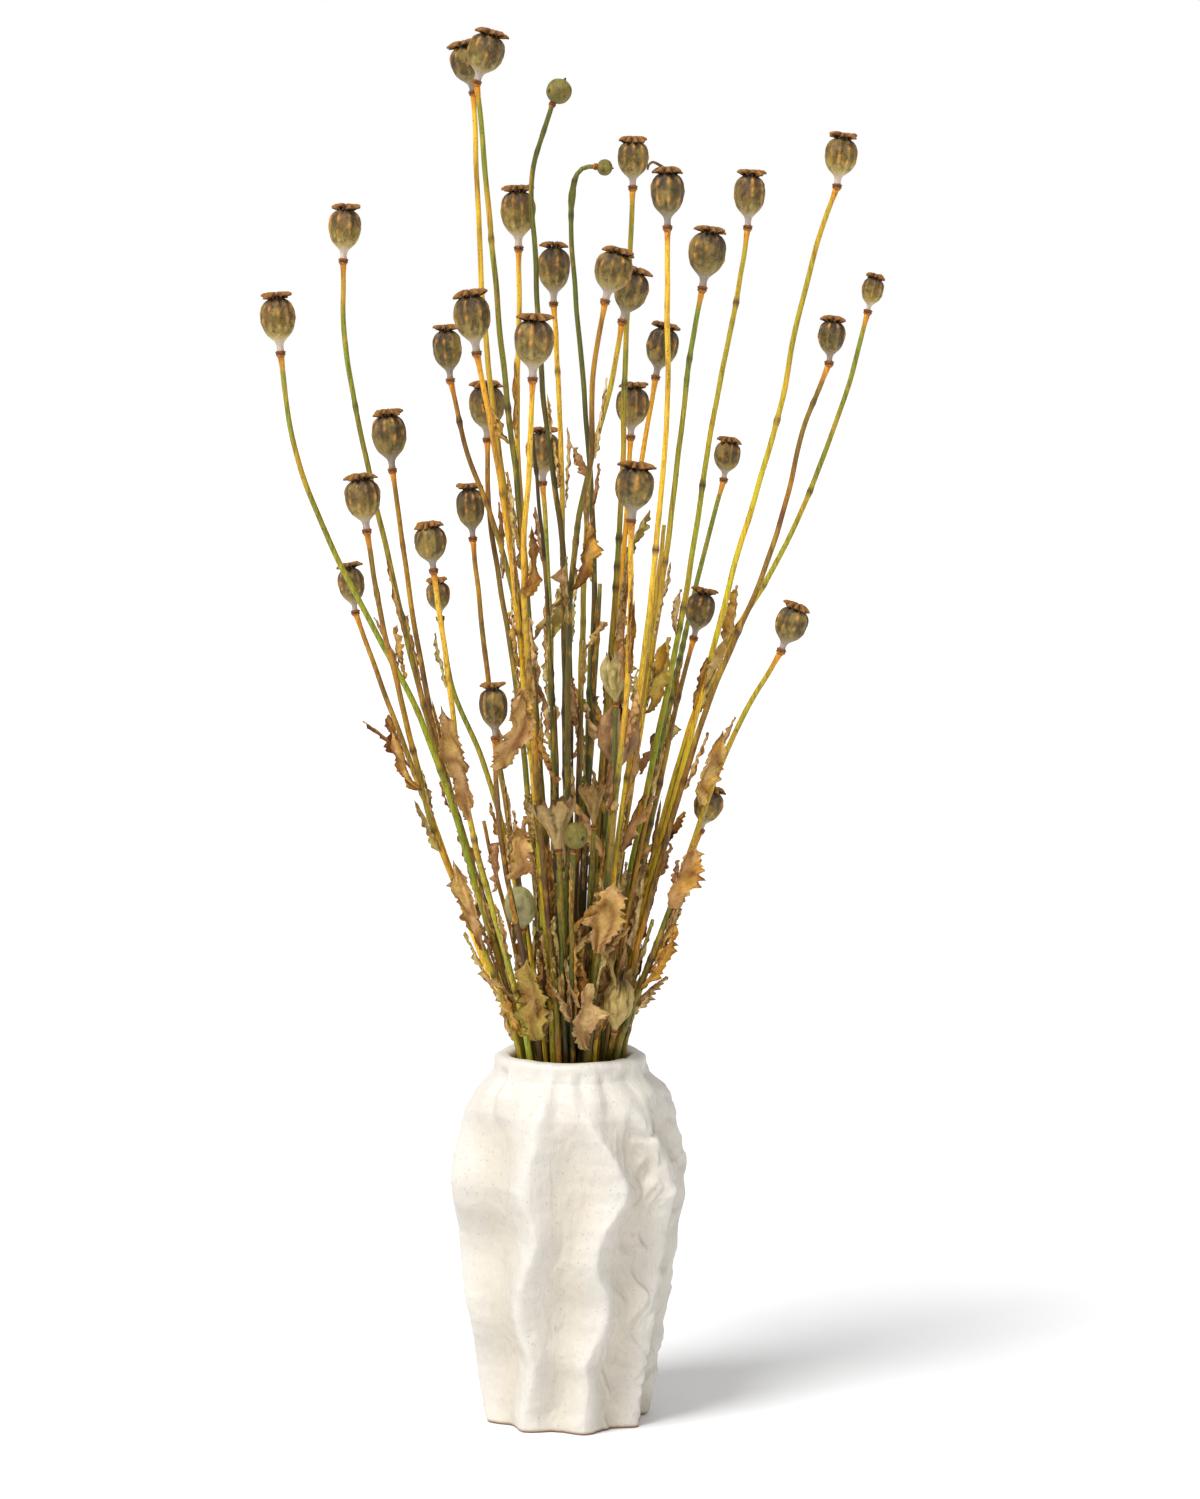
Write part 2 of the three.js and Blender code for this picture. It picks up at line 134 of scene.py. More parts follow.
class Shape:  # collects vertices, faces, a tint per vertex and a few masks, then makes the mesh
    def __init__(self, maskNames=()):
        self.points, self.faces, self.tints, self.skins = [], [], [], []
        self.masks = {name: [] for name in maskNames}

    def add(self, points, faces, tints, skin=0, **masks):
        start = len(self.points)
        self.points += [tuple(p) for p in points]
        self.faces += [tuple(start + i for i in face) for face in faces]
        self.tints += [tuple(t) for t in tints]
        self.skins += [skin] * len(faces)
        for name, kept in self.masks.items():
            kept += list(masks.get(name, [0.0] * len(points)))

    def make(self, name, materials):
        mesh = bpy.data.meshes.new(name)
        mesh.from_pydata(self.points, [], self.faces)
        mesh.polygons.foreach_set("use_smooth", [True] * len(self.faces))
        mesh.polygons.foreach_set("material_index", self.skins)
        tint = mesh.color_attributes.new(name="tint", type="FLOAT_COLOR", domain="POINT")
        tint.data.foreach_set("color", [v for t in self.tints for v in (*t, 1.0)])
        for key, values in self.masks.items():
            mesh.attributes.new(key, "FLOAT", "POINT").data.foreach_set("value", values)
        for material in materials:
            mesh.materials.append(material)
        mesh.validate()
        made = bpy.data.objects.new(name, mesh)
        bpy.context.scene.collection.objects.link(made)
        return made


class Wire:  # an output socket that takes part in plain arithmetic
    def __init__(self, owner, socket):
        self.owner, self.socket = owner, socket

    def maths(self, operation, *values):
        return self.owner.node("ShaderNodeMath", {"operation": operation}, values)

    def __add__(self, other): return self.maths("ADD", self, other)
    def __radd__(self, other): return self.maths("ADD", other, self)
    def __sub__(self, other): return self.maths("SUBTRACT", self, other)
    def __rsub__(self, other): return self.maths("SUBTRACT", other, self)
    def __mul__(self, other): return self.maths("MULTIPLY", self, other)
    def __rmul__(self, other): return self.maths("MULTIPLY", other, self)


class Nodes:  # adds nodes to one tree and links them
    def __init__(self, tree):
        self.tree = tree

    def link(self, socket, value):
        if isinstance(value, Wire):
            self.tree.links.new(value.socket, socket)
        elif hasattr(value, "__len__") and len(value) == 3 and socket.type == "RGBA":
            socket.default_value = (*value, 1.0)
        else:
            socket.default_value = value

    def node(self, kind, settings=None, values=(), output=0):
        made = self.tree.nodes.new(kind)
        for key, value in (settings or {}).items():
            setattr(made, key, value)
        pairs = values.items() if isinstance(values, dict) else enumerate(values)
        for key, value in pairs:
            self.link(made.inputs[key], value)
        return Wire(self, made.outputs[output])

    def step(self, value, start, end):  # 0 below start, 1 above end
        settings = {"interpolation_type": "SMOOTHSTEP"}
        return self.node("ShaderNodeMapRange", settings, {"Value": value, "From Min": start, "From Max": end})


class Skin(Nodes):  # a procedural material
    def __init__(self, name, roughness=0.7):
        self.material = bpy.data.materials.new(name)
        self.material.use_nodes = True
        super().__init__(self.material.node_tree)
        self.shader = self.tree.nodes["Principled BSDF"]
        self.shader.inputs["Roughness"].default_value = roughness

    def mix(self, share, a, b, how="MIX"):
        settings = {"data_type": "RGBA", "blend_type": how}
        return self.node("ShaderNodeMix", settings, {0: share, 6: a, 7: b}, 2)

    def place(self, scale=(1, 1, 1)):  # a point on the piece, stretched
        spot = self.node("ShaderNodeTexCoord", output=3)
        return self.node("ShaderNodeVectorMath", {"operation": "MULTIPLY"}, (spot, scale))

    def grain(self, scale, stretch=(1, 1, 1), detail=4.0, rough=0.55, twist=0.0):
        return self.node("ShaderNodeTexNoise", {}, {"Vector": self.place(stretch), "Scale": scale,
                         "Detail": detail, "Roughness": rough, "Distortion": twist})

    def mask(self, name):
        return self.node("ShaderNodeAttribute", {"attribute_name": name}, output=2)

    def tint(self):
        return self.node("ShaderNodeAttribute", {"attribute_name": "tint"}, output=0)

    def finish(self, base=None, roughness=None, height=None, relief=0.0005):
        if base is not None:
            self.link(self.shader.inputs["Base Color"], base)
        if roughness is not None:
            self.link(self.shader.inputs["Roughness"], roughness)
        if height is not None:
            bump = self.node("ShaderNodeBump", {}, {"Height": height, "Distance": relief, "Strength": 1.0})
            self.link(self.shader.inputs["Normal"], bump)
        return self.material


def makeStemSkin():
    skin = Skin("dry stem", roughness=0.55)
    streaks = skin.grain(900, (1, 1, 0.03), detail=5.0)
    blotches = skin.grain(120, (1, 1, 0.35), detail=3.0)
    specks = skin.step(skin.grain(1100, (1, 1, 0.5), detail=2.0), 0.64, 0.70)
    base = skin.mix(skin.step(streaks, 0.44, 0.64) * 0.7, skin.tint(), (0.40, 0.33, 0.14), "MULTIPLY")
    base = skin.mix(skin.step(blotches, 0.54, 0.68) * 0.45, base, colour(210, 162, 44))
    base = skin.mix(specks * 0.85, base, colour(44, 26, 12))
    return skin.finish(base, 0.34 + streaks * 0.3, streaks + blotches * 0.6, 0.0007)


def makeCapsuleSkin():
    skin = Skin("dry capsule", roughness=0.62)
    ridge, body, fleck = skin.mask("ridge"), skin.mask("body"), skin.mask("fleck")
    fibres = skin.grain(620, (1, 1, 0.12), detail=6.0, rough=0.6)
    mottle = skin.grain(260, (1, 1, 0.7), detail=6.0, rough=0.65, twist=0.8)
    patches = skin.grain(105, (1, 1, 0.8), detail=4.0)
    base = skin.mix(skin.step(mottle, 0.42, 0.60) * body * 0.85, skin.tint(), (0.38, 0.33, 0.22), "MULTIPLY")
    base = skin.mix(skin.step(patches, 0.5, 0.64) * body * 0.4, base, colour(180, 150, 66))
    # partly painted highlight: golden patches along the rib crests, partly the capsule's own colour
    gold = ridge * skin.step(skin.grain(240, (1, 1, 0.4), detail=3.0), 0.56, 0.66) * body
    base = skin.mix(gold * 0.45, base, colour(206, 144, 54))
    base = skin.mix(fleck * 0.95, base, colour(236, 160, 64))
    specks = skin.step(skin.grain(1150, (1, 1, 0.8), detail=1.0), 0.68, 0.74) * body
    base = skin.mix(specks * 0.8, base, colour(34, 24, 16))
    base = skin.mix(skin.step(fibres, 0.45, 0.75) * 0.35, base, (0.62, 0.57, 0.50), "MULTIPLY")
    return skin.finish(base, 0.46 + mottle * 0.25, fibres * 0.7 + mottle, 0.0011)


def makeCrownSkin():
    skin = Skin("dry crown", roughness=0.7)
    ridge = skin.mask("ridge")
    crust = skin.grain(700, detail=6.0, rough=0.65)
    patches = skin.grain(300, detail=3.0)
    base = skin.mix(skin.step(crust, 0.40, 0.60) * 0.8, skin.tint(), (0.32, 0.25, 0.16), "MULTIPLY")
    base = skin.mix(skin.step(patches, 0.54, 0.64) * 0.45, base, colour(160, 102, 14))
    # painted highlight: golden streaks on the top side of the rays only
    base = skin.mix(ridge * skin.step(crust, 0.35, 0.6) * 0.4, base, colour(206, 146, 44))
    return skin.finish(base, 0.5 + crust * 0.3, crust + ridge * 0.5, 0.0009)


def makeLeafSkin():
    skin = Skin("dry leaf", roughness=0.66)
    veinAndCrestLight, edge = skin.mask("ridge"), skin.mask("body")
    crackle = skin.grain(420, detail=6.0, rough=0.62, twist=0.8)
    patches = skin.grain(120, detail=4.0, twist=0.5)
    base = skin.mix(skin.step(crackle, 0.42, 0.64) * 0.5, skin.tint(), (0.60, 0.48, 0.34), "MULTIPLY")
    base = skin.mix(skin.step(patches, 0.57, 0.68) * 0.45, base, colour(150, 98, 40))
    # the vein mask pales the leaf: real veins, and painted highlight on the crests
    base = skin.mix(veinAndCrestLight * 0.5, base, colour(226, 192, 126))
    base = skin.mix(edge * skin.step(patches, 0.4, 0.6) * 0.7, base, colour(118, 72, 26))
    return skin.finish(base, 0.5 + crackle * 0.3, crackle + veinAndCrestLight * 0.6, 0.0010)


def makeClaySkin():
    skin = Skin("white clay")
    brush = skin.grain(120, (1.0, 1.0, 0.22), detail=7.0, rough=0.6, twist=1.2)
    hand = skin.grain(40, (1.0, 1.0, 0.7), detail=5.0, rough=0.55, twist=0.8)
    chatter = skin.grain(420, (1.0, 1.0, 0.45), detail=3.0, twist=0.6)
    pits = skin.step(skin.grain(620, detail=1.0), 0.70, 0.76)
    # painted shade: the troughs between the crests are darkened and yellowed
    sunk = skin.mask("sunk")
    base = skin.mix(sunk * 0.6, skin.tint(), (0.84, 0.78, 0.68), "MULTIPLY")
    base = skin.mix(skin.step(hand, 0.35, 0.7) * 0.5, base, (0.97, 0.95, 0.915), "MULTIPLY")
    base = skin.mix(skin.step(brush, 0.5, 0.72) * 0.4, base, (0.955, 0.925, 0.88), "MULTIPLY")
    base = skin.mix(pits * 0.35, base, colour(170, 150, 124))
    height = brush * 0.4 + hand * 0.5 + chatter * 0.03 - pits * 0.12
    return skin.finish(base, 0.34 + brush * 0.3, height, 0.0022)


stemSkin, capsuleSkin, crownSkin = makeStemSkin(), makeCapsuleSkin(), makeCrownSkin()
leafSkin, claySkin = makeLeafSkin(), makeClaySkin()
print("materials made")


vase = {
    "ribs": 8, "columns": 40, "rows": 230,
    "pathLift": {0: 8.0, 1: 5.0, 7: 8.0},
    "ribStarts": [17, 57, 102, 147, 192, 237, 284, 335],
    "swing": 7, "swingLength": 0.088, "swingMiddle": 0.140,
    "ribPaths": {  # the ribs at the front: height in millimetres, degrees round from the front
        0: [(0, 10.5), (22, 12.5), (42, 11), (60, 19), (81, 21.7), (107, 14.6), (131, 18), (157, 28.5),
            (175, 24.7), (210, 9)],
        1: [(5, 55), (40, 58), (75, 53.5), (121, 62), (140, 59.6), (181, 55), (212, 42)],
        7: [(0, 327), (17, 333), (40, 336.5), (63, 330), (86, 331), (123, 343), (155, 337.6), (202, 342.5)]},
    "trough": 0.0128, "wander": 1.2, "fold": 0.0016, "flute": 0.0036, "handMark": 0.0007, "nick": 0.00028,
    "swell": 0.0032, "swellMiddle": 0.143, "leftBelly": 0.0030, "shoulder": (0.17, 0.205),
    "rimUneven": 0.0017,
    "bandBottom": 0.229, "height": 0.243, "rim": 0.050, "mouth": 0.039, "wall": 0.006, "floor": 0.009,
    "crests": [(0, 54), (3, 55), (14, 55.8), (38, 59.5), (66, 64), (96, 69), (114, 72), (144, 75.5),
               (162, 77), (188, 73.5), (208, 69), (220, 62), (226, 55), (230, 51), (234, 50), (240, 50)],
    # the inside colour is painted shade: the inner wall is darkened for the shade within the mouth
    "clay": colour(212, 207, 198), "foot": colour(150, 112, 74), "inside": colour(112, 98, 80),
}


def crestRadius(z):
    heights, radii = zip(*vase["crests"])
    return float(np.interp(z / mm, heights, radii)) * mm


smoothPaths = {rib: smoothThrough([(0.977 * z + vase["pathLift"][rib], angle) for z, angle in path], 120)
               for rib, path in vase["ribPaths"].items()}


def ribAngle(rib, z):
    lead, side = rib % vase["ribs"], 1 if rib % 2 == 0 else -1
    fade = clamp((vase["bandBottom"] - z) / 0.03)
    if lead in smoothPaths:
        angle = float(np.interp(z / mm, smoothPaths[lead][:, 0], smoothPaths[lead][:, 1]))
    else:
        phase = math.tau * (z - vase["swingMiddle"]) / vase["swingLength"]
        swing = side * vase["swing"] * fade * math.sin(phase)
        angle = vase["ribStarts"][lead] + swing
    angle += vase["wander"] * fade * wobble(z * 38, lead * 5.1) + 0.8 * fade * wobble(z * 120, lead * 3.3, 4)
    return math.radians(angle + 360 * (rib // vase["ribs"]))


def foldAt(angle, z):
    # overlapping folds pushed up by hand, each raised on one side and pressed in on the other
    spot = Vector((math.sin(angle) * 3.4 + z * 8, -math.cos(angle) * 3.4, z * 20))
    spot += 0.5 * Vector((wobble(z * 60, angle * 2), wobble(z * 40, angle * 3, 5), 0))
    broad = noise.noise(spot) / 0.15
    fine = noise.noise(spot * 2.3 + Vector((3, 5, 7))) / 0.17
    side = 0.18 + 0.82 * ease(0.15, 0.85, math.sin(angle))
    return side * (broad * math.exp(-broad * broad / 2) + 0.45 * fine * math.exp(-fine * fine / 2)) * 1.65


def outsideRow(z):
    # one ring of the body: crests stay out, and the clay between them is pressed in
    points, sunk = [], []
    below = ease(-0.004, 0.045, vase["bandBottom"] - z)
    foot = 0.62 + 0.38 * ease(-0.02, 0.05, z)
    soft = 0.26 + 0.55 * (1 - ease(0.0, 0.045, z))  # how rounded the crests are
    neck = ease(0.196, 0.224, z) * (1 - 0.6 * ease(0.230, 0.240, z))
    belowShoulder = 1 - ease(*vase["shoulder"], z)
    wave = math.sin(math.tau * (z - vase["swellMiddle"]) / vase["swingLength"])
    for rib in range(vase["ribs"]):
        start, end = ribAngle(rib, z), ribAngle(rib + 1, z)
        width = (end - start) / math.radians(45)
        for c in range(vase["columns"]):
            t = c / vase["columns"]
            angle = start + (end - start) * t
            press = (math.hypot(math.sin(math.pi * t), soft) - soft) / (math.hypot(1, soft) - soft)
            depth = vase["trough"] * (0.4 + 0.6 * width) * below * foot * press ** 0.9
            depth *= 1 + 0.3 * wobble(z * 22, rib * 7.7)
            spot = Vector((math.sin(angle) * 9, -math.cos(angle) * 9, z * 110))
            hand = vase["handMark"] * noise.noise(spot * 0.6) * (0.35 + 0.65 * below)
            nick = vase["nick"] * noise.noise(spot * 2.3) * (0.2 + 0.8 * below)
            flute = wobbleRound(angle, 6.5, z * 14)
            flute += 0.30 * math.cos(21 * angle + 3 * wobbleRound(angle, 1, z * 9))
            flute *= vase["flute"] * neck
            swell = vase["swell"] * wave * abs(math.sin(angle)) ** 3 * ease(0.02, 0.08, z) * belowShoulder
            swell += vase["leftBelly"] * max(0.0, -math.sin(angle)) ** 4 * belowShoulder
            radius = crestRadius(z) - depth + hand + nick + flute + swell
            radius += vase["fold"] * foldAt(angle, z) * (0.15 + 0.85 * below)
            points.append((radius * math.sin(angle), -radius * math.cos(angle), z))
            # how deep each point lies in a trough, for the painted trough shade
            sunk.append(press * below)
    return points, sunk


def plainRow(z, radius, uneven=0.0):
    points = []
    count = vase["ribs"] * vase["columns"]
    for k in range(count):
        rib, c = divmod(k, vase["columns"])
        start, end = ribAngle(rib, z), ribAngle(rib + 1, z)
        angle = start + (end - start) * c / vase["columns"]
        r = radius + uneven * wobbleRound(angle, 1.7, 3)
        r += 0.6 * uneven * wobbleRound(angle, 6.5, 0.239 * 14)
        lift = uneven * wobbleRound(angle, 2.2, 9)
        points.append((r * math.sin(angle), -r * math.cos(angle), z + lift))
    return points


def makeVase():
    clay, count = Shape(("sunk",)), vase["ribs"] * vase["columns"]
    rows, tints, marks = [], [], []

    def addRow(points, tint, mark=None):
        rows.append(points)
        tints.append([tint] * count)
        marks.append(mark or [0.0] * count)

    first, _ = outsideRow(0.001)
    for share in (0.02, 0.6, 0.9, 0.965):  # the flat foot, with a small rounded edge
        addRow([(x * share, y * share, 0.0) for x, y, _ in first], vase["foot"])
    for i in range(vase["rows"] + 1):
        z = 0.0008 + (vase["bandBottom"] + 0.005 - 0.0008) * i / vase["rows"]
        points, mark = outsideRow(z)
        edge = blend(vase["foot"], vase["clay"], ease(0.0008, 0.0026, z))
        addRow(points, edge, mark)
    top, rim, mouth = vase["height"], vase["rim"], vase["mouth"]
    lip = [(rim, top - 0.006), (rim, top - 0.0035), (rim - 0.0008, top - 0.0015),
           (rim - 0.0025, top - 0.0003), (rim - 0.005, top), (mouth + 0.004, top),
           (mouth + 0.0018, top - 0.0006), (mouth + 0.0004, top - 0.002), (mouth, top - 0.005)]
    for radius, z in lip:
        addRow(plainRow(z, radius, vase["rimUneven"]), vase["clay"])
    # the inner wall and floor, in the painted-shade inside colour
    for i in range(1, 40):
        z = top - 0.005 - (top - 0.005 - vase["floor"]) * i / 39
        body = crestRadius(z) - vase["trough"] - vase["wall"]
        radius = mouth + (body - mouth) * ease(0.0, 0.045, vase["bandBottom"] - z)
        addRow(plainRow(z, radius), vase["inside"])
    for share in (0.9, 0.5, 0.02):
        addRow([(x * share, y * share, z) for x, y, z in rows[-1]], vase["inside"])
    points, tints, marks = ([v for row in kept for v in row] for kept in (rows, tints, marks))
    clay.add(points, tubeFaces(len(rows), count), tints, sunk=marks)
    settle(clay.make("clay_vase", [claySkin]), "vase")


makeVase()
print("vase made")


shades = {
    "green": colour(112, 126, 18), "olive": colour(170, 152, 18), "straw": colour(238, 188, 42),
    "amber": colour(230, 160, 15), "umber": colour(111, 67, 16), "plum": colour(98, 58, 25),
    "glow": colour(222, 142, 5), "joint": colour(132, 72, 15), "knot": colour(58, 28, 8),
    "neck": colour(208, 190, 170), "brown": colour(74, 51, 17), "khaki": colour(158, 128, 48),
    "moss": colour(134, 114, 32), "mauve": colour(120, 88, 46), "sap": colour(118, 106, 28),
    "crown": colour(108, 66, 8), "collar": colour(160, 134, 92), "poreShade": colour(22, 12, 6),
    "tan": colour(190, 146, 90), "ash": colour(140, 128, 54), "rust": colour(70, 38, 8),
    "pale": colour(214, 190, 122), "shell": colour(196, 190, 136),
}

# stem colour near the head and lower down, for poppy_01 onwards
stemColours = [pair.split() for pair in (
    "straw straw, green olive, green olive, green green, green olive, straw straw, olive green, "
    "olive olive, green olive, umber umber, green straw, straw umber, straw umber, umber green, "
    "olive olive, amber plum, green umber, green green, amber olive, umber green, straw plum, "
    "umber green, amber umber, green green, straw green, umber umber, umber olive, plum umber, "
    "straw green, green straw, umber straw, green green, umber green, olive green, umber plum"
).split(", ")]
headKinds = {3: "bud", 4: "hooked", 37: "bud", 38: "torn", 39: "torn", 40: "bud", 41: "husk", 42: "husk",
             43: "husk"}
# darker heads: partly each head's own tone, partly painted shade for heads that sit in shade within the bunch
paleHeads, darkHeads = (8, 9, 12, 17, 18), (1, 6, 10, 11, 15, 16, 20, 25, 26, 28, 29, 33, 34, 35)
podColours = {38: ("tan", "pale"), 39: ("tan", "khaki"), 41: ("pale", "khaki"), 42: ("tan", "umber"),
              43: ("pale", "ash")}
boredHoles = {3: (-0.9, 0.36), 37: (0.75, 0.5), 4: (1.4, 0.9)}  # angle, and share of the bud's height
ribbedBud, threadHead = 40, 6
ownKnots = {3: [0.017, 0.033, 0.12], 4: [0.0175, 0.040]}  # metres below the joint ring
headRowCount = {"crowned": 9, "bud": 5, "hooked": 4, "torn": 5, "husk": 5}  # rings of the CAD head

poppy = {
    "stemStep": 0.0045, "stemSides": 10, "neckRadius": 0.00165, "footRadius": 0.0024,
    "knotSpan": (0.025, 0.40), "knotCounts": (5, 7, 9),
    "headSides": 72, "headRows": 46, "ribDepth": 0.115, "crownLobes": (8, 11), "glowLength": 0.016,
    # outlines: share of the radius, share of the height
    "profile": [(0.25, 0.02), (0.215, 0.07), (0.22, 0.125), (0.29, 0.18), (0.47, 0.235), (0.68, 0.30),
                (0.85, 0.38), (0.95, 0.47), (1.0, 0.57), (0.995, 0.66), (0.94, 0.745), (0.83, 0.81),
                (0.68, 0.855), (0.53, 0.88), (0.46, 0.895), (0.43, 0.93)],
    # the joint ring: share of the radius, millimetres up
    "ringProfile": [(0.62, -2.6), (0.74, -1.9), (0.86, -1.3), (0.95, -0.8), (0.86, -0.35), (0.88, 0.1),
                    (1.0, 0.5), (0.99, 0.95), (0.84, 1.25), (0.66, 1.7)],
    "crownDroop": 0.0022, "crownThick": 0.0014, "tones": {"pale": 1.0, "dark": 0.52, "plain": 0.73},
    "bud": [(0.22, 0.02), (0.26, 0.08), (0.6, 0.16), (0.88, 0.3), (1.0, 0.5), (0.94, 0.7), (0.72, 0.86),
            (0.4, 0.95), (0.16, 0.985), (0.09, 1.01), (0.07, 1.06), (0.02, 1.08)],
    "husk": [(0.2, 0.03), (0.26, 0.1), (0.52, 0.2), (0.86, 0.36), (1.0, 0.54), (0.98, 0.7), (0.8, 0.85),
             (0.5, 0.95), (0.34, 1.0)],
    "torn": [(0.16, 0.03), (0.22, 0.16), (0.36, 0.34), (0.56, 0.54), (0.8, 0.76), (0.94, 0.92), (1.0, 0.98)],
    # a curled thread on one crown: millimetres from its middle
    "thread": [(-3, -2, -0.5), (-6.5, -3, 1.6), (-9.4, -3, 2.6), (-11.8, -3, 0.8), (-12.6, -3, -2.2)],
}


def stain(base, name, share):  # some of a named shade over the base
    return blend(base, shades[name], share)


def cadLayers(node):
    # the rings of a CAD poppy from its cut foot up, each as an array of points
    bm = bmesh.new()
    bm.from_mesh(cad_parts[node].data)
    bmesh.ops.remove_doubles(bm, verts=bm.verts, dist=0.02 * mm)
    lowest = sorted(bm.verts, key=lambda v: v.co.z)[:7]
    middle = sum((v.co for v in lowest), Vector()) / 7
    layer = [min(lowest, key=lambda v: (v.co - middle).length)]
    seen, layers = set(layer), []
    while layer:
        layers.append(np.array([v.co for v in layer]))
        around = {e.other_vert(v) for v in layer for e in v.link_edges} - seen
        seen |= around
        layer = list(around)
    bm.free()
    return layers


def readPoppy(node):
    number = int(node[-2:])
    kind = headKinds.get(number, "crowned")
    layers = cadLayers(node)
    rings = headRowCount[kind]
    centres = [layer.mean(axis=0) for layer in layers]
    ringCentre = centres[-(rings + 2)]
    stem = centres[1:-(rings + 3)] + [ringCentre]
    axis = centres[-1] - ringCentre
    height = float(np.linalg.norm(axis))
    wide = max(np.linalg.norm(layer - centre, axis=1).max()
               for layer, centre in zip(layers[-(rings + 1):-1], centres[-(rings + 1):-1]))
    return {"kind": kind, "stem": stem, "ring": ringCentre, "axis": axis / height, "height": height,
            "radius": float(wide), "dice": random.Random(number * 77 + 5), "number": number}


def sideways(along):
    front = np.array([0.0, -1.0, 0.0])
    side = np.cross(along, front)
    side /= np.linalg.norm(side)
    return side, np.cross(side, along)


def loft(centres, alongs, sides, radiusAt, liftAt=None):
    points = []
    for row, (centre, along) in enumerate(zip(centres, alongs)):
        side, forward = sideways(along)
        for a in anglesOf(sides):
            r = radiusAt(row, a)
            lift = liftAt(row, a) if liftAt else 0.0
            points.append(centre + side * (r * math.sin(a)) + forward * (r * math.cos(a)) + along * lift)
    return points


def stemLine(plant):
    # the smooth middle line of a stem from foot to joint ring, and the length left above each point
    stem = list(plant["stem"])
    if plant["kind"] == "hooked":  # its neck climbs straight, then bows over
        stem[-1:-1] = [plant["ring"] + np.array(bow) * mm for bow in ([-14.0, 0, -11.0], [-8.5, 0, -1.2])]
    length = lengthOf(smoothThrough(stem, 200))
    count = max(30, int(length / poppy["stemStep"]))
    line, fromTop = smoothThrough(stem, count), np.linspace(length, 0, count)
    for i in range(count):  # a dry stem is never quite straight
        quiet = ease(0.0, 0.02, fromTop[i]) * ease(0.0, 0.05, line[i][2] - 0.25)
        line[i][0] += 0.7 * mm * quiet * wobble(fromTop[i] * 34, plant["number"] * 3.7)
        line[i][1] += 0.4 * mm * quiet * wobble(fromTop[i] * 34, plant["number"] * 3.7, 8)
    return line, fromTop


def addStem(shape, plant, line, fromTop, upper, lower, knots, glow=True, swell=0.0, thin=1.0):
    number, count, sides = plant["number"], len(line), poppy["stemSides"]
    alongs = directionsOf(line)
    neck = poppy["neckRadius"] * (0.8 + 0.2 * plant["radius"] / 0.0105) * thin
    foot = poppy["footRadius"] * thin

    def radiusAt(row, a):
        d = fromTop[row]
        r = neck + (foot - neck) * clamp(d / max(fromTop[0], 0.4)) ** 0.8
        r += 0.6 * mm * (1 - ease(0.0, 0.010, d)) if glow else 0.0
        r *= 1 + 0.05 * wobble(d * 55, number, a) + 0.04 * math.cos(3 * a + d * 9 + number)
        for knot in knots:
            r += 0.6 * mm * math.exp(-((d - knot) / 0.0012) ** 2)
        return r + swell * mm * math.exp(-((d - 0.0285) / 0.0065) ** 2)

    tints = []
    for row in range(count):
        d = fromTop[row]
        base = blend(shades[upper], shades[lower], ease(0.05, 0.30, d + 0.05 * wobble(d * 12, number)))
        stray = clamp(0.5 + 0.9 * wobble(d * 16, number * 1.9, 5))
        base = stain(base, "olive", 0.35 * stray)
        base = stain(base, "umber", 0.45 * clamp(1.8 * wobble(d * 26, number * 2.3, 7) - 0.4))
        base = stain(base, "amber", 0.6 * clamp(1.8 * wobble(d * 19, number * 4.1, 2) - 0.15))
        greener = clamp(2 * wobble(d * 14, number * 5.3, 4) - 0.3) * ease(0.1, 0.3, d)
        base = stain(base, "green", 0.7 * greener)
        base = base * (1 + (0.58 * math.sin(number * 5.7) - 0.08) * ease(0.06, 0.25, d))
        # painted shade: stems darken towards and below the vase's rim, slightly for the whole stems and
        # strongly for the broken ones; the broken stems are also darker overall, partly their dead colour and
        # partly painted shade inside the bunch
        mouthShade, tone = (0.05, 1.12) if glow else (0.7, 0.56)
        base = base * (1 - mouthShade * (1 - ease(0.236, 0.33, line[row][2]))) * tone
        if glow:
            base = stain(base, "glow", 0.9 * (1 - ease(0.3, 1.0, d / poppy["glowLength"])))
        for knot in knots:
            base = stain(base, "knot", 0.95 * math.exp(-((d - knot) / 0.0013) ** 2))
        tints += [base] * sides
    points = loft(line, alongs, sides, radiusAt)
    shape.add(points, tubeFaces(count, sides), tints, skin=0)


def headLoft(plant, heights, sides, radiusAt, liftAt=None):
    # rings up the head at these heights in metres above the joint ring
    centres = [plant["ring"] + plant["axis"] * h for h in heights]
    return loft(centres, [plant["axis"]] * len(heights), sides, radiusAt, liftAt)


def addRing(shape, plant):
    number = plant["number"]
    size = (2.55 + 0.85 * plant["radius"] / 0.0105) * mm * (0.8 if plant["kind"] != "crowned" else 1)
    heights = [h * mm * (size / (3.3 * mm)) for _, h in poppy["ringProfile"]]
    shares = [r for r, _ in poppy["ringProfile"]]
    rows, sides = len(heights), 20

    def radiusAt(row, a):
        return size * shares[row] * (1 + 0.06 * wobbleRound(a, 2, number + row * 0.6))

    tints = []
    for row in range(rows):
        groove = 1 - min(abs(row - 4.5), 2) / 2
        base = stain(shades["joint"], "glow", 0.7 if row < 3 else 0.05)
        tints += [stain(base, "knot", 0.6 * groove)] * sides
    shape.add(headLoft(plant, heights, sides, radiusAt), tubeFaces(rows, sides), tints, skin=2)


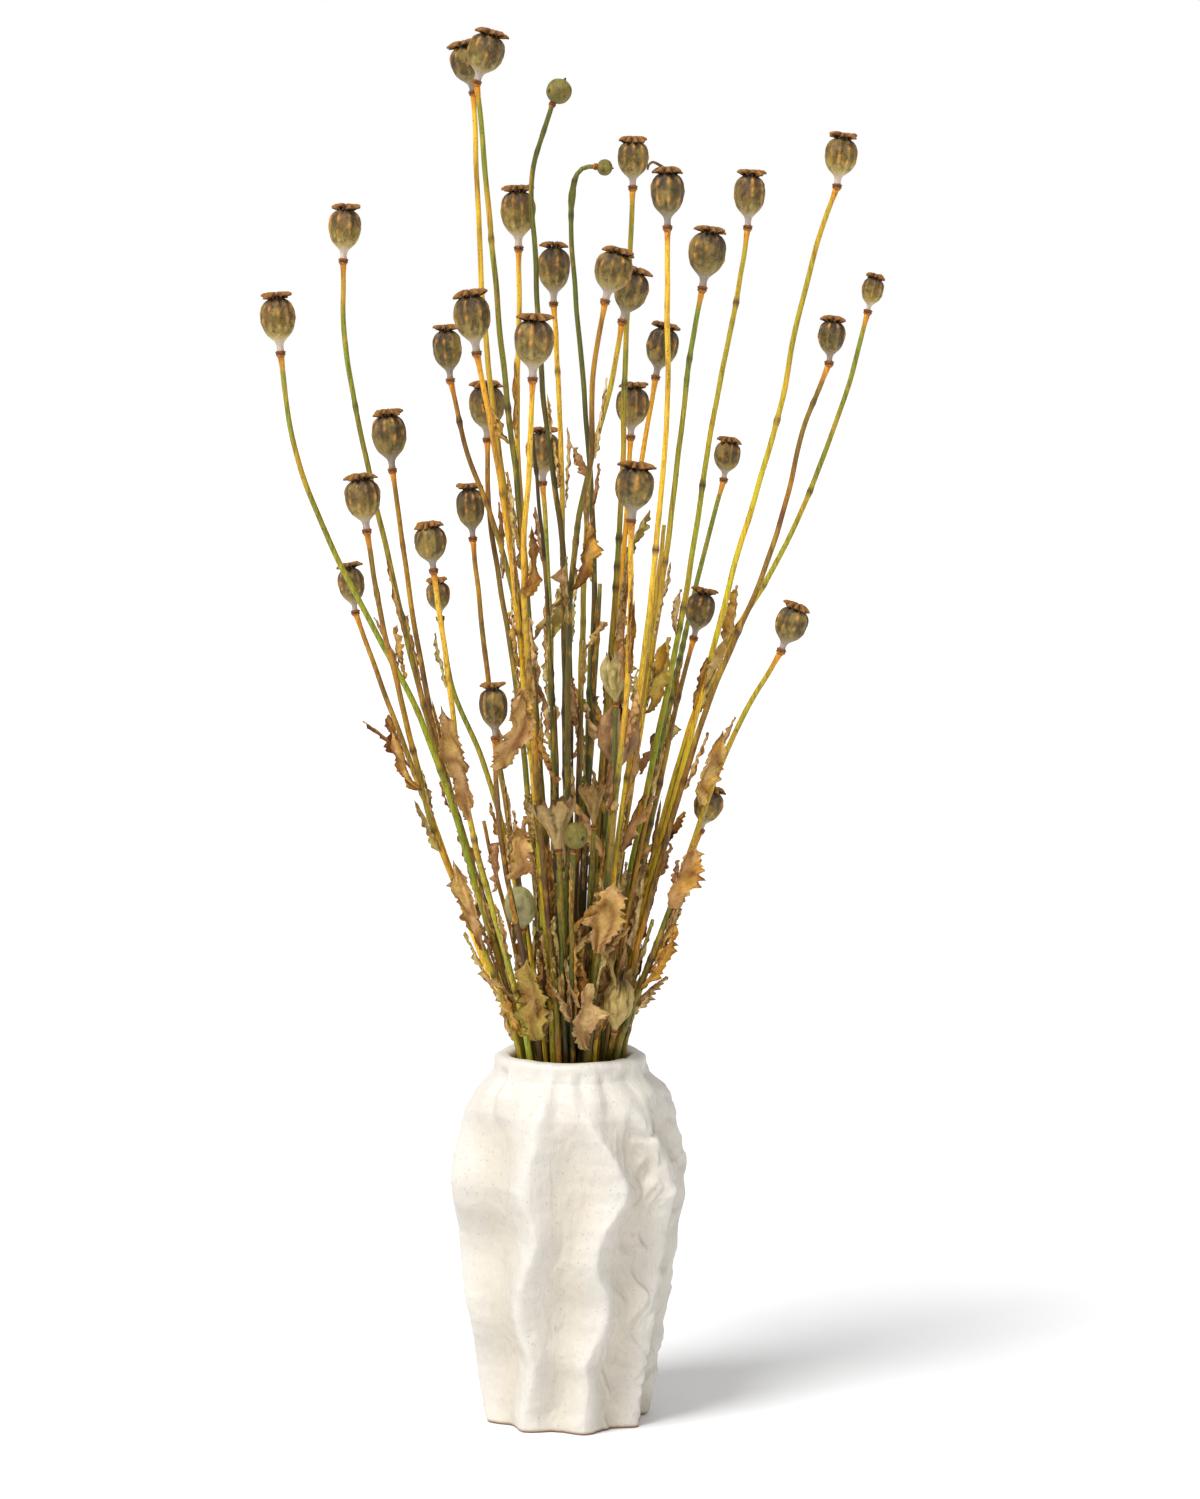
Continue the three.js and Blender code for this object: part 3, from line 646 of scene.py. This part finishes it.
def capsuleTint(plant, share, ridge, a):
    number = plant["number"]
    patch = 0.5 + 0.5 * wobbleRound(a, 1.3, share * 3 + number)
    fine = clamp(0.5 + 0.9 * wobbleRound(a, 4, share * 11 + number))
    base = stain(shades["moss"], "khaki", fine)
    base = stain(base, "mauve", 0.8 * ease(0.40, 0.76, share + 0.4 * (patch - 0.5)))
    base = stain(base, "brown", 0.75 * ease(0.68, 0.9, share + 0.15 * (fine - 0.5)))
    base = stain(base, "pale", 0.75 * (1 - ease(0.26, 0.56, share + 0.1 * fine)))
    # painted highlight and shade: the rib crests are lightened and the valleys between them darkened
    inBody = ease(0.25, 0.4, share)
    base = base * (1 + inBody * (0.34 * ridge + 0.08 - 0.46 * (1 - ridge) * fine))
    base = stain(base, "neck", 1 - ease(0.16, 0.29, share))
    base = stain(base, "joint", 0.5 * (1 - ease(0.03, 0.07, share)))
    tone = "pale" if number in paleHeads else "dark" if number in darkHeads else "plain"
    return base * poppy["tones"][tone] * (0.94 + 0.12 * ((number * 37) % 10) / 10)


def addCapsule(shape, plant, ribs):
    number, radius, height, dice = plant["number"], plant["radius"], plant["height"], plant["dice"]
    rows, sides = poppy["headRows"], poppy["headSides"]
    outline = smoothThrough(poppy["profile"], rows)
    squash = 0.03 * math.sin(number * 2.1)
    turn = dice.uniform(0, math.tau)
    plant["turn"] = turn  # the crown's lobes start there too
    flecks = [(turn + math.tau * dice.randrange(ribs) / ribs, dice.uniform(0.42, 0.82), dice.uniform(0.5, 1))
              for _ in range(16)]

    def ridgeAt(a, share=0.0):
        return max(0.0, math.cos(ribs * (a - turn + 0.06 * wobble(share * 6, number)))) ** 2.5

    def fleckAt(a, share):
        most = 0.0
        for at, up, strength in flecks:
            off = math.atan2(math.sin(a - at), math.cos(a - at))
            most = max(most, strength * math.exp(-(off / 0.085) ** 2 - ((share - up) / 0.036) ** 2))
        return most

    def radiusAt(row, a):
        r, share = outline[row]
        strength = poppy["ribDepth"] * ease(0.16, 0.34, share) * (1 - 0.35 * ease(0.75, 0.9, share))
        valley = abs(math.sin(ribs * (a - turn) / 2 + 0.03 * wobble(share * 6, number)))
        ribbed = strength * (0.5 * ridgeAt(a, share) - 0.75 * valley ** 2 * (1 - 0.4 * valley) + 0.3)
        dent = 0.03 * wobbleRound(a, 2.3, share * 5 + number * 2.7)
        pucker = 0.020 * wobbleRound(a, 6, share * 16 + number) * ease(0.2, 0.35, share)
        wide = 1 + squash * math.cos(2 * a)
        return radius * r * wide * (1 + ribbed + dent + pucker) + 0.5 * mm * fleckAt(a, share)

    tints, ridges, bodies, golds = [], [], [], []
    for _, share in outline:
        collar = ease(0.875, 0.9, share)
        for a in anglesOf(sides):
            ridge = ridgeAt(a, share)
            tint = stain(capsuleTint(plant, share, ridge, a), "collar", collar)
            # painted shade: the collar between the ribs turns near black, for the pores and the shade under
            # the crown
            tints.append(stain(tint, "poreShade", 0.95 * collar * (1 - ridge) ** 2))
            ridges.append(ridge * (1 - collar))
            bodies.append(ease(0.2, 0.34, share) * (1 - collar))
            golds.append(fleckAt(a, share) * (1 - collar))
    points = headLoft(plant, outline[:, 1] * height, sides, radiusAt)
    shape.add(points, tubeFaces(rows, sides), tints, skin=1, ridge=ridges, body=bodies, fleck=golds)


def addCrown(shape, plant, lobes):
    # a shallow umbrella of stigma rays on its collar: thick lobes with drooping, uneven tips
    number, dice = plant["number"], plant["dice"]
    wide = plant["radius"] * dice.uniform(1.02, 1.12)
    base = plant["ring"] + plant["axis"] * plant["height"] * 0.975
    lean = Vector(plant["axis"]).to_track_quat("Z", "Y").to_matrix()
    lift = [dice.uniform(-1.6, 1.6) for _ in range(lobes)]
    long = [dice.uniform(0.88, 1.04) for _ in range(lobes)]
    droop = poppy["crownDroop"] * dice.uniform(0.3, 1.2) * clamp(plant["radius"] / 0.0105)
    around, out = lobes * 10, (0.04, 0.2, 0.38, 0.54, 0.68, 0.8, 0.9, 0.97, 1.0)
    turn = plant["turn"]
    points, tints, ridges = [], [], []
    for top in (0, 1):
        for share in out:
            for k in range(around):
                a = math.tau * k / around
                petal = int(k / 10 + 0.5) % lobes
                lobe = abs(math.cos(lobes * a / 2)) ** 0.8
                notch = 1 - 0.58 * (1 - lobe) ** 0.75 * ease(0.25, 1.0, share)
                r = wide * share * notch * (1 - (1 - long[petal]) * lobe)
                r *= 1 + 0.05 * wobbleRound(a, 5, number)
                fold = (1 - lobe) * ease(0.2, 0.8, share)
                z = -droop * share ** 2.2 - 2.0 * mm * fold
                z += 0.8 * mm * lift[petal] * lobe * ease(0.4, 1, share)
                z += 0.5 * mm * wobble(r * 420 * math.cos(a), r * 420 * math.sin(a), number)
                ray = lobe ** 4 * ease(0.05, 0.3, share)
                thick = poppy["crownThick"] * (0.7 + 0.9 * ray) * (1 - 0.5 * ease(0.75, 1.0, share))
                z += thick * (0.6 if top else -0.5)
                spot = lean @ Vector((r * math.cos(a + turn), r * math.sin(a + turn), z))
                points.append(base + np.array(spot))
                # painted shade and highlight: the crown darkens in the notches between its lobes and on its
                # underside, and the tops of its rays are lightened
                shade = stain(shades["crown"], "rust", clamp(0.8 * (1 - lobe) + 0.35 * (1 - top)))
                tints.append(stain(shade, "glow", 0.25 * ray * top))
                ridges.append(ray * top)
    shape.add(points, wallFaces(len(out), around, flip=True), tints, skin=2, ridge=ridges)


def addThread(shape, plant):
    # a curled dry thread left hanging from the crown
    top = plant["ring"] + plant["axis"] * plant["height"]
    rows, sides = 24, 8
    line = smoothThrough([top + np.array(step) * mm for step in poppy["thread"]], rows)
    points = loft(line, directionsOf(line), sides, lambda row, a: (1.0 - 0.016 * row) * mm)
    shape.add(points, tubeFaces(rows, sides), [shades["crown"]] * len(points), skin=2)


def addBud(shape, plant):
    # a round unripe pod with no crown, a small nub on top, and a bored hole in some
    number, radius, height = plant["number"], plant["radius"], plant["height"]
    tall = number == ribbedBud
    rows, sides, ribs, hole = 40, 48, 9, boredHoles.get(number)
    outline = smoothThrough(poppy["bud"], rows)

    def holeAt(a, share):
        if not hole:
            return 0.0
        away = math.hypot(math.atan2(math.sin(a - hole[0]), math.cos(a - hole[0])), (share - hole[1]) * 2.6)
        return 1 - ease(0.10, 0.24, away)

    def radiusAt(row, a):
        r, share = outline[row]
        rib = (0.03 if tall else 0.012) * math.cos(ribs * a)
        rib *= ease(0.1, 0.3, share) * (1 - ease(0.8, 0.95, share))
        dent = 0.03 * wobbleRound(a, 2, share * 4 + number)
        return radius * r * (1 + rib + dent) * (1 - 0.3 * holeAt(a, share))

    light, extra, mottled = ("shell", 0.4, 0.3) if tall else ("ash", 0, 0.5)
    tints = []
    for _, share in outline:
        for a in anglesOf(sides):
            patch = 0.5 + 0.5 * wobbleRound(a, 1.5, share * 3 + number)
            tint = stain(shades["sap"], light, 0.5 * patch + extra)
            blotch = clamp(1.6 * wobbleRound(a, 2.6, share * 6 + number) - 0.2)
            tint = stain(tint, "brown", 0.7 * blotch)
            tint = stain(tint, "umber", 0.5 * (1 - ease(0.03, 0.16, share)))
            tint = stain(tint, "rust", ease(0.965, 1.0, share))
            # painted shade: the bored hole is only a dent, darkened to look deep
            tints.append(stain(tint, "poreShade", holeAt(a, share)))
    bodies = [mottled * (1 - ease(0.9, 0.97, share)) for _, share in outline for _ in range(sides)]
    points = headLoft(plant, outline[:, 1] * height, sides, radiusAt)
    shape.add(points, tubeFaces(rows, sides), tints, skin=1, body=bodies)


def addTornPod(shape, plant):
    # an empty capsule gone soft: pleated walls and a ragged, split top
    number, radius, height = plant["number"], plant["radius"], plant["height"]
    radius *= 1.0 if plant["kind"] == "husk" else 1.3
    sides, rows = 64, 36
    outline = smoothThrough(poppy[plant["kind"]], rows)
    folds, deep = 4 + number % 3, 0.42 if number == 42 else 0.30

    def crumple(share, a):
        sway = a + 0.5 * wobble(share * 4, number) + 0.35 * wobbleRound(a, 2, number)
        pleat = 0.5 - abs(math.sin(folds * sway / 2 + number)) ** 0.8
        rough = wobbleRound(a, 2.2, share * 3.5 + number)
        fine = wobbleRound(a, 6, share * 12 + number)
        return (-deep * pleat - 0.08 + 0.20 * rough + 0.07 * fine) * ease(0.1, 0.4, share)

    def wallPoints(inner):
        def radiusAt(row, a):
            r, share = outline[row]
            return clamp(radius * r * (1 + crumple(share, a)) - inner, 0.25 * mm, radius * 1.1)

        def liftAt(row, a):
            share = outline[row][1]
            rag = wobbleRound(a, 3.4, number * 3.1)
            rag += 0.6 * wobbleRound(a, 8, number * 1.7)
            return height * 0.22 * (rag - 0.35) * ease(0.5, 1.0, share)
        return headLoft(plant, outline[:, 1] * height, sides, radiusAt, liftAt)

    light, dark = podColours[number]
    tints, ridges = [], []
    for inner in (0, 1):
        for _, share in outline:
            for a in anglesOf(sides):
                patch = 0.5 + 0.5 * wobbleRound(a, 1.8, share * 4 + number)
                tint = stain(shades[light], dark, patch)
                # painted shade: the pressed-in pleats and the inner wall are darkened; the raised folds feed
                # the capsule skin's golden crest patches
                tint = stain(tint, "rust", 0.75 * clamp(-3.5 * crumple(share, a)))
                tints.append(stain(tint, "umber", 0.4 * ease(0.8, 1.0, share) + 0.4 * inner))
                ridges.append(clamp(4 * crumple(share, a)))
    points = wallPoints(0.0) + wallPoints(0.5 * mm)
    shape.add(points, wallFaces(rows, sides), tints, skin=1, body=[0.4] * len(points), ridge=ridges)


leafShades = {
    "gold": colour(224, 168, 48), "tan": colour(214, 168, 112), "pale": colour(230, 206, 138),
    "brown": colour(146, 90, 34), "green": colour(182, 170, 66), "straw": colour(224, 184, 94),
}
leaf = {
    "thickness": 0.0003, "toothEvery": 0.0056, "toothDepth": 0.75, "ruffle": 0.0018, "fold": 0.20,
    "pleat": 0.0011, "vee": 0.35, "slant": 0.22, "sheathShare": 0.70,
    # leaf bits on the stems: spans of length, width and lean
    "sheath": ((0.026, 0.056), (0.007, 0.012), (0.0, 0.12)),
    "loose": ((0.018, 0.042), (0.010, 0.021), (0.15, 0.7)),
    "scraps": (5, 0.252, 0.52), "highScraps": (3, 0.44, 0.665),  # how many, from this height, up to this
    "lowestTip": 0.246,
}
scrapTones = (("gold", "straw"), ("straw", "pale"), ("tan", "brown"), ("pale", "green"), ("gold", "brown"),
              ("straw", "tan"), ("tan", "pale"))


def addBlade(shape, spine, across, outward, width, tones, seed, rows, columns, roll, widest, skin=3):
    # a thin toothed blade along its spine, rolled lengthwise, crumpled and twisted as it dried
    line = smoothThrough(spine, rows)
    length = lengthOf(line)
    dice = random.Random(seed * 13 + 3)
    twist, sweep = dice.uniform(-1.1, 1.1), (dice.uniform(0.6, 1.1), dice.uniform(0.6, 1.1))
    teeth = max(3, round(length / leaf["toothEvery"]))
    bow = dice.uniform(0.5, 1.2)
    points, inward, tints, veinsAndCrestLight, edges = [], [], [], [], []
    fold = leaf["fold"] * width
    pitch = 1.5 / width
    for r in range(rows):
        u = r / (rows - 1)
        turn = twist * (u - 0.25)
        side = across * math.cos(turn) + outward * math.sin(turn)
        out = outward * math.cos(turn) - across * math.sin(turn)
        power = math.log(0.5) / math.log(widest)
        swell = (0.14 + 0.86 * math.sin(math.pi * clamp(u) ** power) ** 0.7) * (1 - ease(0.86, 1.0, u) * 0.85)
        swell *= 1 + 0.45 * wobble(u * 3.4, seed * 2.9)
        curl = roll * (1 + 0.5 * wobble(u * 3, seed * 1.3, 6))
        free = ease(0.0, 0.15, u)  # 0 at the foot of the blade
        for c in range(columns):
            v = 2 * c / (columns - 1) - 1
            hand = 1 if v > 0 else 0
            lobe = 0.80 + 0.55 * wobble(u * length * 110, seed * 3.3 + hand * 9)
            phase = (u * teeth + 0.4 * hand + 1.1 * wobble(u * 5, seed * 1.7)) % 1
            bite = (0.5 + wobble(u * 11, seed + hand * 3.0)) * phase ** 0.7 * abs(v) ** 2
            tooth = 1 - leaf["toothDepth"] * bite
            half = width / 2 * swell * sweep[hand] * lobe * tooth
            spot = Vector((u * length * pitch, v * width * pitch * 0.6 + seed * 3.1, seed * 0.7))
            sway = noise.noise(spot)
            reach = half * math.sin(curl * v) / max(curl, 0.4)
            reach += 0.20 * fold * noise.noise(spot * 1.3) * free
            rise = half * (1 - math.cos(curl * v)) / max(curl, 0.4) * bow
            rise += fold * (1.6 * abs(sway) - 0.25) * free + 0.35 * fold * noise.noise(spot * 2.7)
            rise += leaf["ruffle"] * abs(v) ** 1.6 * wobble(u * length * 210, seed + hand * 5.0)
            pleats = math.cos(math.tau * (u - leaf["slant"] * abs(v)) * teeth)
            rise += leaf["pleat"] * clamp(width / 0.03) * abs(v) ** 0.7 * pleats + leaf["vee"] * half * abs(v)
            points.append(line[r] + side * reach + out * rise)
            inward.append(out)
            # paler along the midrib and the pleat crests, fading in the crumple's creases: partly real veins,
            # partly painted highlight on the crests
            rib = math.exp(-(v / 0.11) ** 2)
            sideRib = max(0.0, pleats) ** 3 * (1 - abs(v) * 0.4)
            veinsAndCrestLight.append(clamp(rib + 0.4 * sideRib) * (0.5 + 0.5 * clamp(3 * abs(sway))))
            edges.append(abs(v) ** 3)
            patch = clamp(0.5 + 0.9 * wobble(u * 3.1, v * 1.3, seed * 2.2))
            shade = blend(leafShades[tones[0]], leafShades[tones[1]], patch)
            # painted shade: brown laid in the crumple's creases
            tints.append(blend(shade, leafShades["brown"], 0.75 * clamp(1 - 4.5 * abs(sway))))
    points, inward = np.array(points), np.array(inward)
    count = rows * columns
    both = np.vstack([points, points - inward * leaf["thickness"]])
    faces = gridFaces(rows, columns, closed=False)
    faces += gridFaces(rows, columns, count, closed=False, flip=True)
    edge = list(range(columns)) + [r * columns + columns - 1 for r in range(1, rows)]
    edge += [(rows - 1) * columns + c for c in range(columns - 2, -1, -1)]
    edge += [r * columns for r in range(rows - 2, 0, -1)]
    faces += [(b, a, a + count, b + count) for a, b in zip(edge, edge[1:] + edge[:1])]
    shape.add(both, faces, tints + tints, skin=skin, ridge=veinsAndCrestLight + veinsAndCrestLight, body=edges + edges)


def addScraps(shape, plant, line, fromTop, count, low, high, first=0):
    # dry toothed leaf bits that clasp the stem, some tight as a sheath and some standing off it
    dice = random.Random(plant["number"] * 31 + 7 + first)
    inside = [i for i in range(3, len(line) - 4) if low < line[i][2] < high and fromTop[i] > 0.05]
    if not inside:
        return
    for n in range(count):
        at = inside[int(dice.random() ** 1.25 * (len(inside) - 1))]
        along = line[at + 2] - line[at - 2]
        along /= np.linalg.norm(along)
        spin = dice.uniform(-1.7, 1.7)
        side, forward = sideways(along)
        outward = forward * math.cos(spin) + side * math.sin(spin)
        across = np.cross(outward, along)
        sheath = dice.random() < leaf["sheathShare"]
        length, width, lean = (dice.uniform(*span) for span in leaf["sheath" if sheath else "loose"])
        hang = 1 if dice.random() < 0.7 or sheath else -1
        start = line[at] + outward * 0.0022
        spine = [start + length * (along * hang * t + outward * lean * t ** 1.6) for t in (0, 0.3, 0.65, 1)]
        if spine[-1][2] < leaf["lowestTip"]:
            continue
        tones = dice.choice(scrapTones)
        roll = 2.1 if sheath else dice.uniform(0.9, 1.9)
        seed = plant["number"] * 40 + n + first
        addBlade(shape, spine, across, outward, width, tones, seed, 26, 9, roll, dice.uniform(0.3, 0.7))


allSkins = [stemSkin, capsuleSkin, crownSkin, leafSkin]
masks = ("ridge", "body", "fleck")


def makePoppy(node):
    plant = readPoppy(node)
    number, dice, kind = plant["number"], plant["dice"], plant["kind"]
    shape = Shape(masks)
    line, fromTop = stemLine(plant)
    plant["line"] = line
    knots = [dice.uniform(*poppy["knotSpan"]) for _ in range(dice.choice(poppy["knotCounts"]))]
    knots = ownKnots.get(number, knots)
    if number <= len(stemColours):
        upper, lower = stemColours[number - 1]
    else:
        upper, lower = dice.choice(("green", "olive", "straw")), dice.choice(("green", "straw", "umber"))
    addStem(shape, plant, line, fromTop, upper, lower, knots, glow=kind == "crowned", swell=kind == "hooked")
    addRing(shape, plant)
    if kind == "crowned":
        ribs = 8 if plant["radius"] < 0.0075 else dice.randint(*poppy["crownLobes"])
        addCapsule(shape, plant, ribs)
        addCrown(shape, plant, ribs)
        if number == threadHead:
            addThread(shape, plant)
    elif kind in ("bud", "hooked"):
        addBud(shape, plant)
    else:
        addTornPod(shape, plant)
    addScraps(shape, plant, line, fromTop, *leaf["scraps"])
    if abs(line[-1][0]) < 0.06:
        addScraps(shape, plant, line, fromTop, *leaf["highScraps"], first=50)
    settle(shape.make("dried_" + node, allSkins), node)
    return plant


plants = [makePoppy(node) for node in sorted(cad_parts) if node.startswith("poppy")]
print("poppies made:", len(plants))


broken = {
    "foot": 0.13, "top": (0.31, 0.67), "thin": (0.55, 0.9), "gap": (0.008, 0.019), "widestGap": 0.045,
    "knotSpan": (0.02, 0.25), "deepWithin": 0.03, "deep": ("umber", "plum", "rust", "green"),
    "outer": ("green", "olive", "straw", "amber", "umber", "plum"),
}


def makeBrokenStems(name, seed, wanted):
    # stems that broke off inside the bunch, between the whole ones
    dice = random.Random(seed)
    shape = Shape(masks)
    made = 0
    while made < wanted:
        a, b = dice.sample(plants, 2)
        top = dice.uniform(*broken["top"])
        levels = np.arange(broken["foot"], top, 0.02)
        sides = []
        for line in (a["line"], b["line"]):
            sides.append(np.stack([np.interp(levels, line[:, 2], line[:, k]) for k in (0, 1)], axis=1))
        apart = np.linalg.norm(sides[0] - sides[1], axis=1)
        low, high = broken["gap"]
        tall = min(a["line"][-1][2], b["line"][-1][2]) >= top
        if not (tall and low < apart[6] < high and apart[-1] <= broken["widestGap"]):
            continue
        middle = sides[0] * 0.5 + sides[1] * 0.5
        stem = [np.array([x, y, z]) for (x, y), z in zip(middle, levels)]
        plant = {"stem": stem, "kind": "broken", "number": seed + made, "radius": 0.0105, "ring": stem[-1]}
        line, fromTop = stemLine(plant)
        # stems near the bunch's middle take dark tones: partly dead stems, partly painted shade in the
        # bunch's core
        deep = np.linalg.norm(line[len(line) // 2][:2]) < broken["deepWithin"]
        tones = [dice.choice(broken["deep" if deep else "outer"]) for _ in range(2)]
        knots = [dice.uniform(*broken["knotSpan"]) for _ in range(3)]
        addStem(shape, plant, line, fromTop, *tones, knots, glow=False, thin=dice.uniform(*broken["thin"]))
        addScraps(shape, plant, line, fromTop + 0.001, 2, leaf["scraps"][1], top - 0.01)
        made += 1
    settle(shape.make(name, allSkins), None)


makeBrokenStems("broken_stems_1", 60, 32)
makeBrokenStems("broken_stems_2", 120, 32)
print("broken stems made")


# where each big leaf is widest along its length, how tightly it is rolled, its width against
# its solid, how much it clings to the nearest stem, and its two colours
bigLeaves = {
    "leaf_01": (0.5, 1.2, 2.0, 0.15, "gold", "brown"), "leaf_02": (0.45, 1.3, 2.1, 0.15, "straw", "tan"),
    "leaf_03": (0.5, 1.2, 1.9, 0.15, "tan", "straw"), "leaf_04": (0.6, 0.9, 1.7, 0.15, "straw", "tan"),
    "leaf_05": (0.5, 1.3, 2.0, 0.15, "tan", "straw"), "leaf_06": (0.55, 1.1, 2.0, 0.15, "straw", "green"),
    "leaf_07": (0.66, 0.8, 1.9, 0.15, "tan", "straw"), "leaf_08": (0.6, 1.1, 2.0, 0.15, "tan", "pale"),
    "leaf_09": (0.5, 1.2, 1.9, 0.15, "gold", "tan"), "leaf_10": (0.5, 1.4, 1.8, 0.15, "gold", "pale"),
    "leaf_11": (0.5, 1.5, 1.2, 0.55, "gold", "gold"), "leaf_12": (0.5, 1.4, 1.8, 0.15, "gold", "brown"),
    "leaf_13": (0.5, 1.4, 1.8, 0.15, "gold", "brown"), "leaf_14": (0.5, 1.3, 1.8, 0.15, "tan", "gold"),
    "leaf_15": (0.5, 1.2, 1.8, 0.15, "gold", "green"), "leaf_16": (0.5, 1.2, 1.8, 0.15, "tan", "brown"),
}


def makeBigLeaf(node, seed):
    # the blade follows the rows of its CAD solid, and its foot reaches down to the nearest stem
    rowsAt = {}
    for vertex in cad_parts[node].data.vertices:
        rowsAt.setdefault(round(vertex.co.z / (0.2 * mm)), []).append(np.array(vertex.co))
    rows = [np.array(rowsAt[key]) for key in sorted(rowsAt)]
    spine = [row.mean(axis=0) for row in rows]
    widestRow = max(rows, key=lambda row: np.ptp(row[:, 0]) + np.ptp(row[:, 1]))
    centred = widestRow[:, :2] - widestRow[:, :2].mean(axis=0)
    directions = np.linalg.svd(centred)[2]
    across = np.array([*directions[0], 0.0])
    outward = np.array([across[1], -across[0], 0.0])
    if outward @ np.array([*spine[len(spine) // 2][:2], 0.0]) < 0:
        outward = -outward
    widest, roll, spread, cling, *tones = bigLeaves[node]
    lines = np.vstack([plant["line"] for plant in plants])

    def nearestStem(spot, low, high):
        level = lines[(lines[:, 2] > spot[2] + low) & (lines[:, 2] < spot[2] + high)]
        return level[np.argmin(np.linalg.norm(level - spot, axis=1))]

    foot = nearestStem(spine[0], -0.022, -0.004)
    spine = [spot * (1 - cling) + nearestStem(spot, -0.004, 0.004) * cling for spot in spine]
    spine = [foot, foot * 0.45 + spine[0] * 0.55] + spine[1:]
    shape = Shape(masks)
    width = np.ptp(centred @ directions[0]) * spread
    addBlade(shape, spine, across, outward, width, tones, seed, 64, 17, roll, widest, skin=0)
    settle(shape.make("dried_" + node, [leafSkin]), node)


for number, node in enumerate(n for n in sorted(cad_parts) if n.startswith("leaf")):
    makeBigLeaf(node, number + 1)
print("leaves made")


studio = {
    "camera": (0.0198, -2.95, 0.740), "tilt": 5.77, "lens": 109.5, "floor": 30.0,
    "sun": 3.1, "sunSide": -42, "sunHeight": 54, "sunSpread": 24,
    "sky": 1.0, "topDim": 0.24, "rightDim": 0.36, "leftDim": 0.42,
}


def makeStudio():
    floor = bpy.data.meshes.new("studio_floor")
    far = studio["floor"]
    floor.from_pydata([(-far, -far, 0), (far, -far, 0), (far, far, 0), (-far, far, 0)], [], [(0, 1, 2, 3)])
    paper = Skin("pale paper floor", roughness=0.9)
    wash = paper.grain(3.0, detail=2.0)
    floor.materials.append(paper.finish(paper.mix(wash, (0.85, 0.85, 0.855), (0.87, 0.87, 0.87))))
    ground = bpy.data.objects.new("studio_floor", floor)
    bpy.context.scene.collection.objects.link(ground)
    world = bpy.data.worlds.new("studio")
    bpy.context.scene.world = world
    world.use_nodes = True
    room = Nodes(world.node_tree)
    way = room.node("ShaderNodeTexCoord")
    across = room.node("ShaderNodeSeparateXYZ", {}, (way,))
    up = room.node("ShaderNodeSeparateXYZ", {}, (way,), output=2)
    dim = room.step(up, 0.06, 0.4) * studio["topDim"]  # bright low down, dimmer overhead and at both sides
    dim += room.step(across, 0.2, 0.75) * studio["rightDim"]
    dim += room.step(0 - across, 0.2, 0.9) * studio["leftDim"]
    background = room.tree.nodes["Background"].inputs
    room.link(background["Strength"], studio["sky"] - dim)
    room.link(background["Color"], (1, 1, 1))
    lamp = bpy.data.lights.new("soft_sun", "SUN")
    lamp.energy, lamp.angle = studio["sun"], math.radians(studio["sunSpread"])
    sun = bpy.data.objects.new("soft_sun", lamp)
    side, height = math.radians(studio["sunSide"]), math.radians(studio["sunHeight"])
    level = math.cos(height)
    toSun = Vector((math.sin(side) * level, -math.cos(side) * level, math.sin(height)))
    sun.rotation_euler = (-toSun).to_track_quat("-Z", "Y").to_euler()
    bpy.context.scene.collection.objects.link(sun)
    lens = bpy.data.cameras.new("camera")
    lens.lens = studio["lens"]
    lens.sensor_width = 36
    camera = bpy.data.objects.new("camera", lens)
    camera.location = studio["camera"]
    camera.rotation_euler = (math.radians(90 - studio["tilt"]), 0, 0)
    bpy.context.scene.collection.objects.link(camera)
    bpy.context.scene.camera = camera
    bpy.context.scene.view_settings.view_transform = "Standard"


makeStudio()
print("studio made")
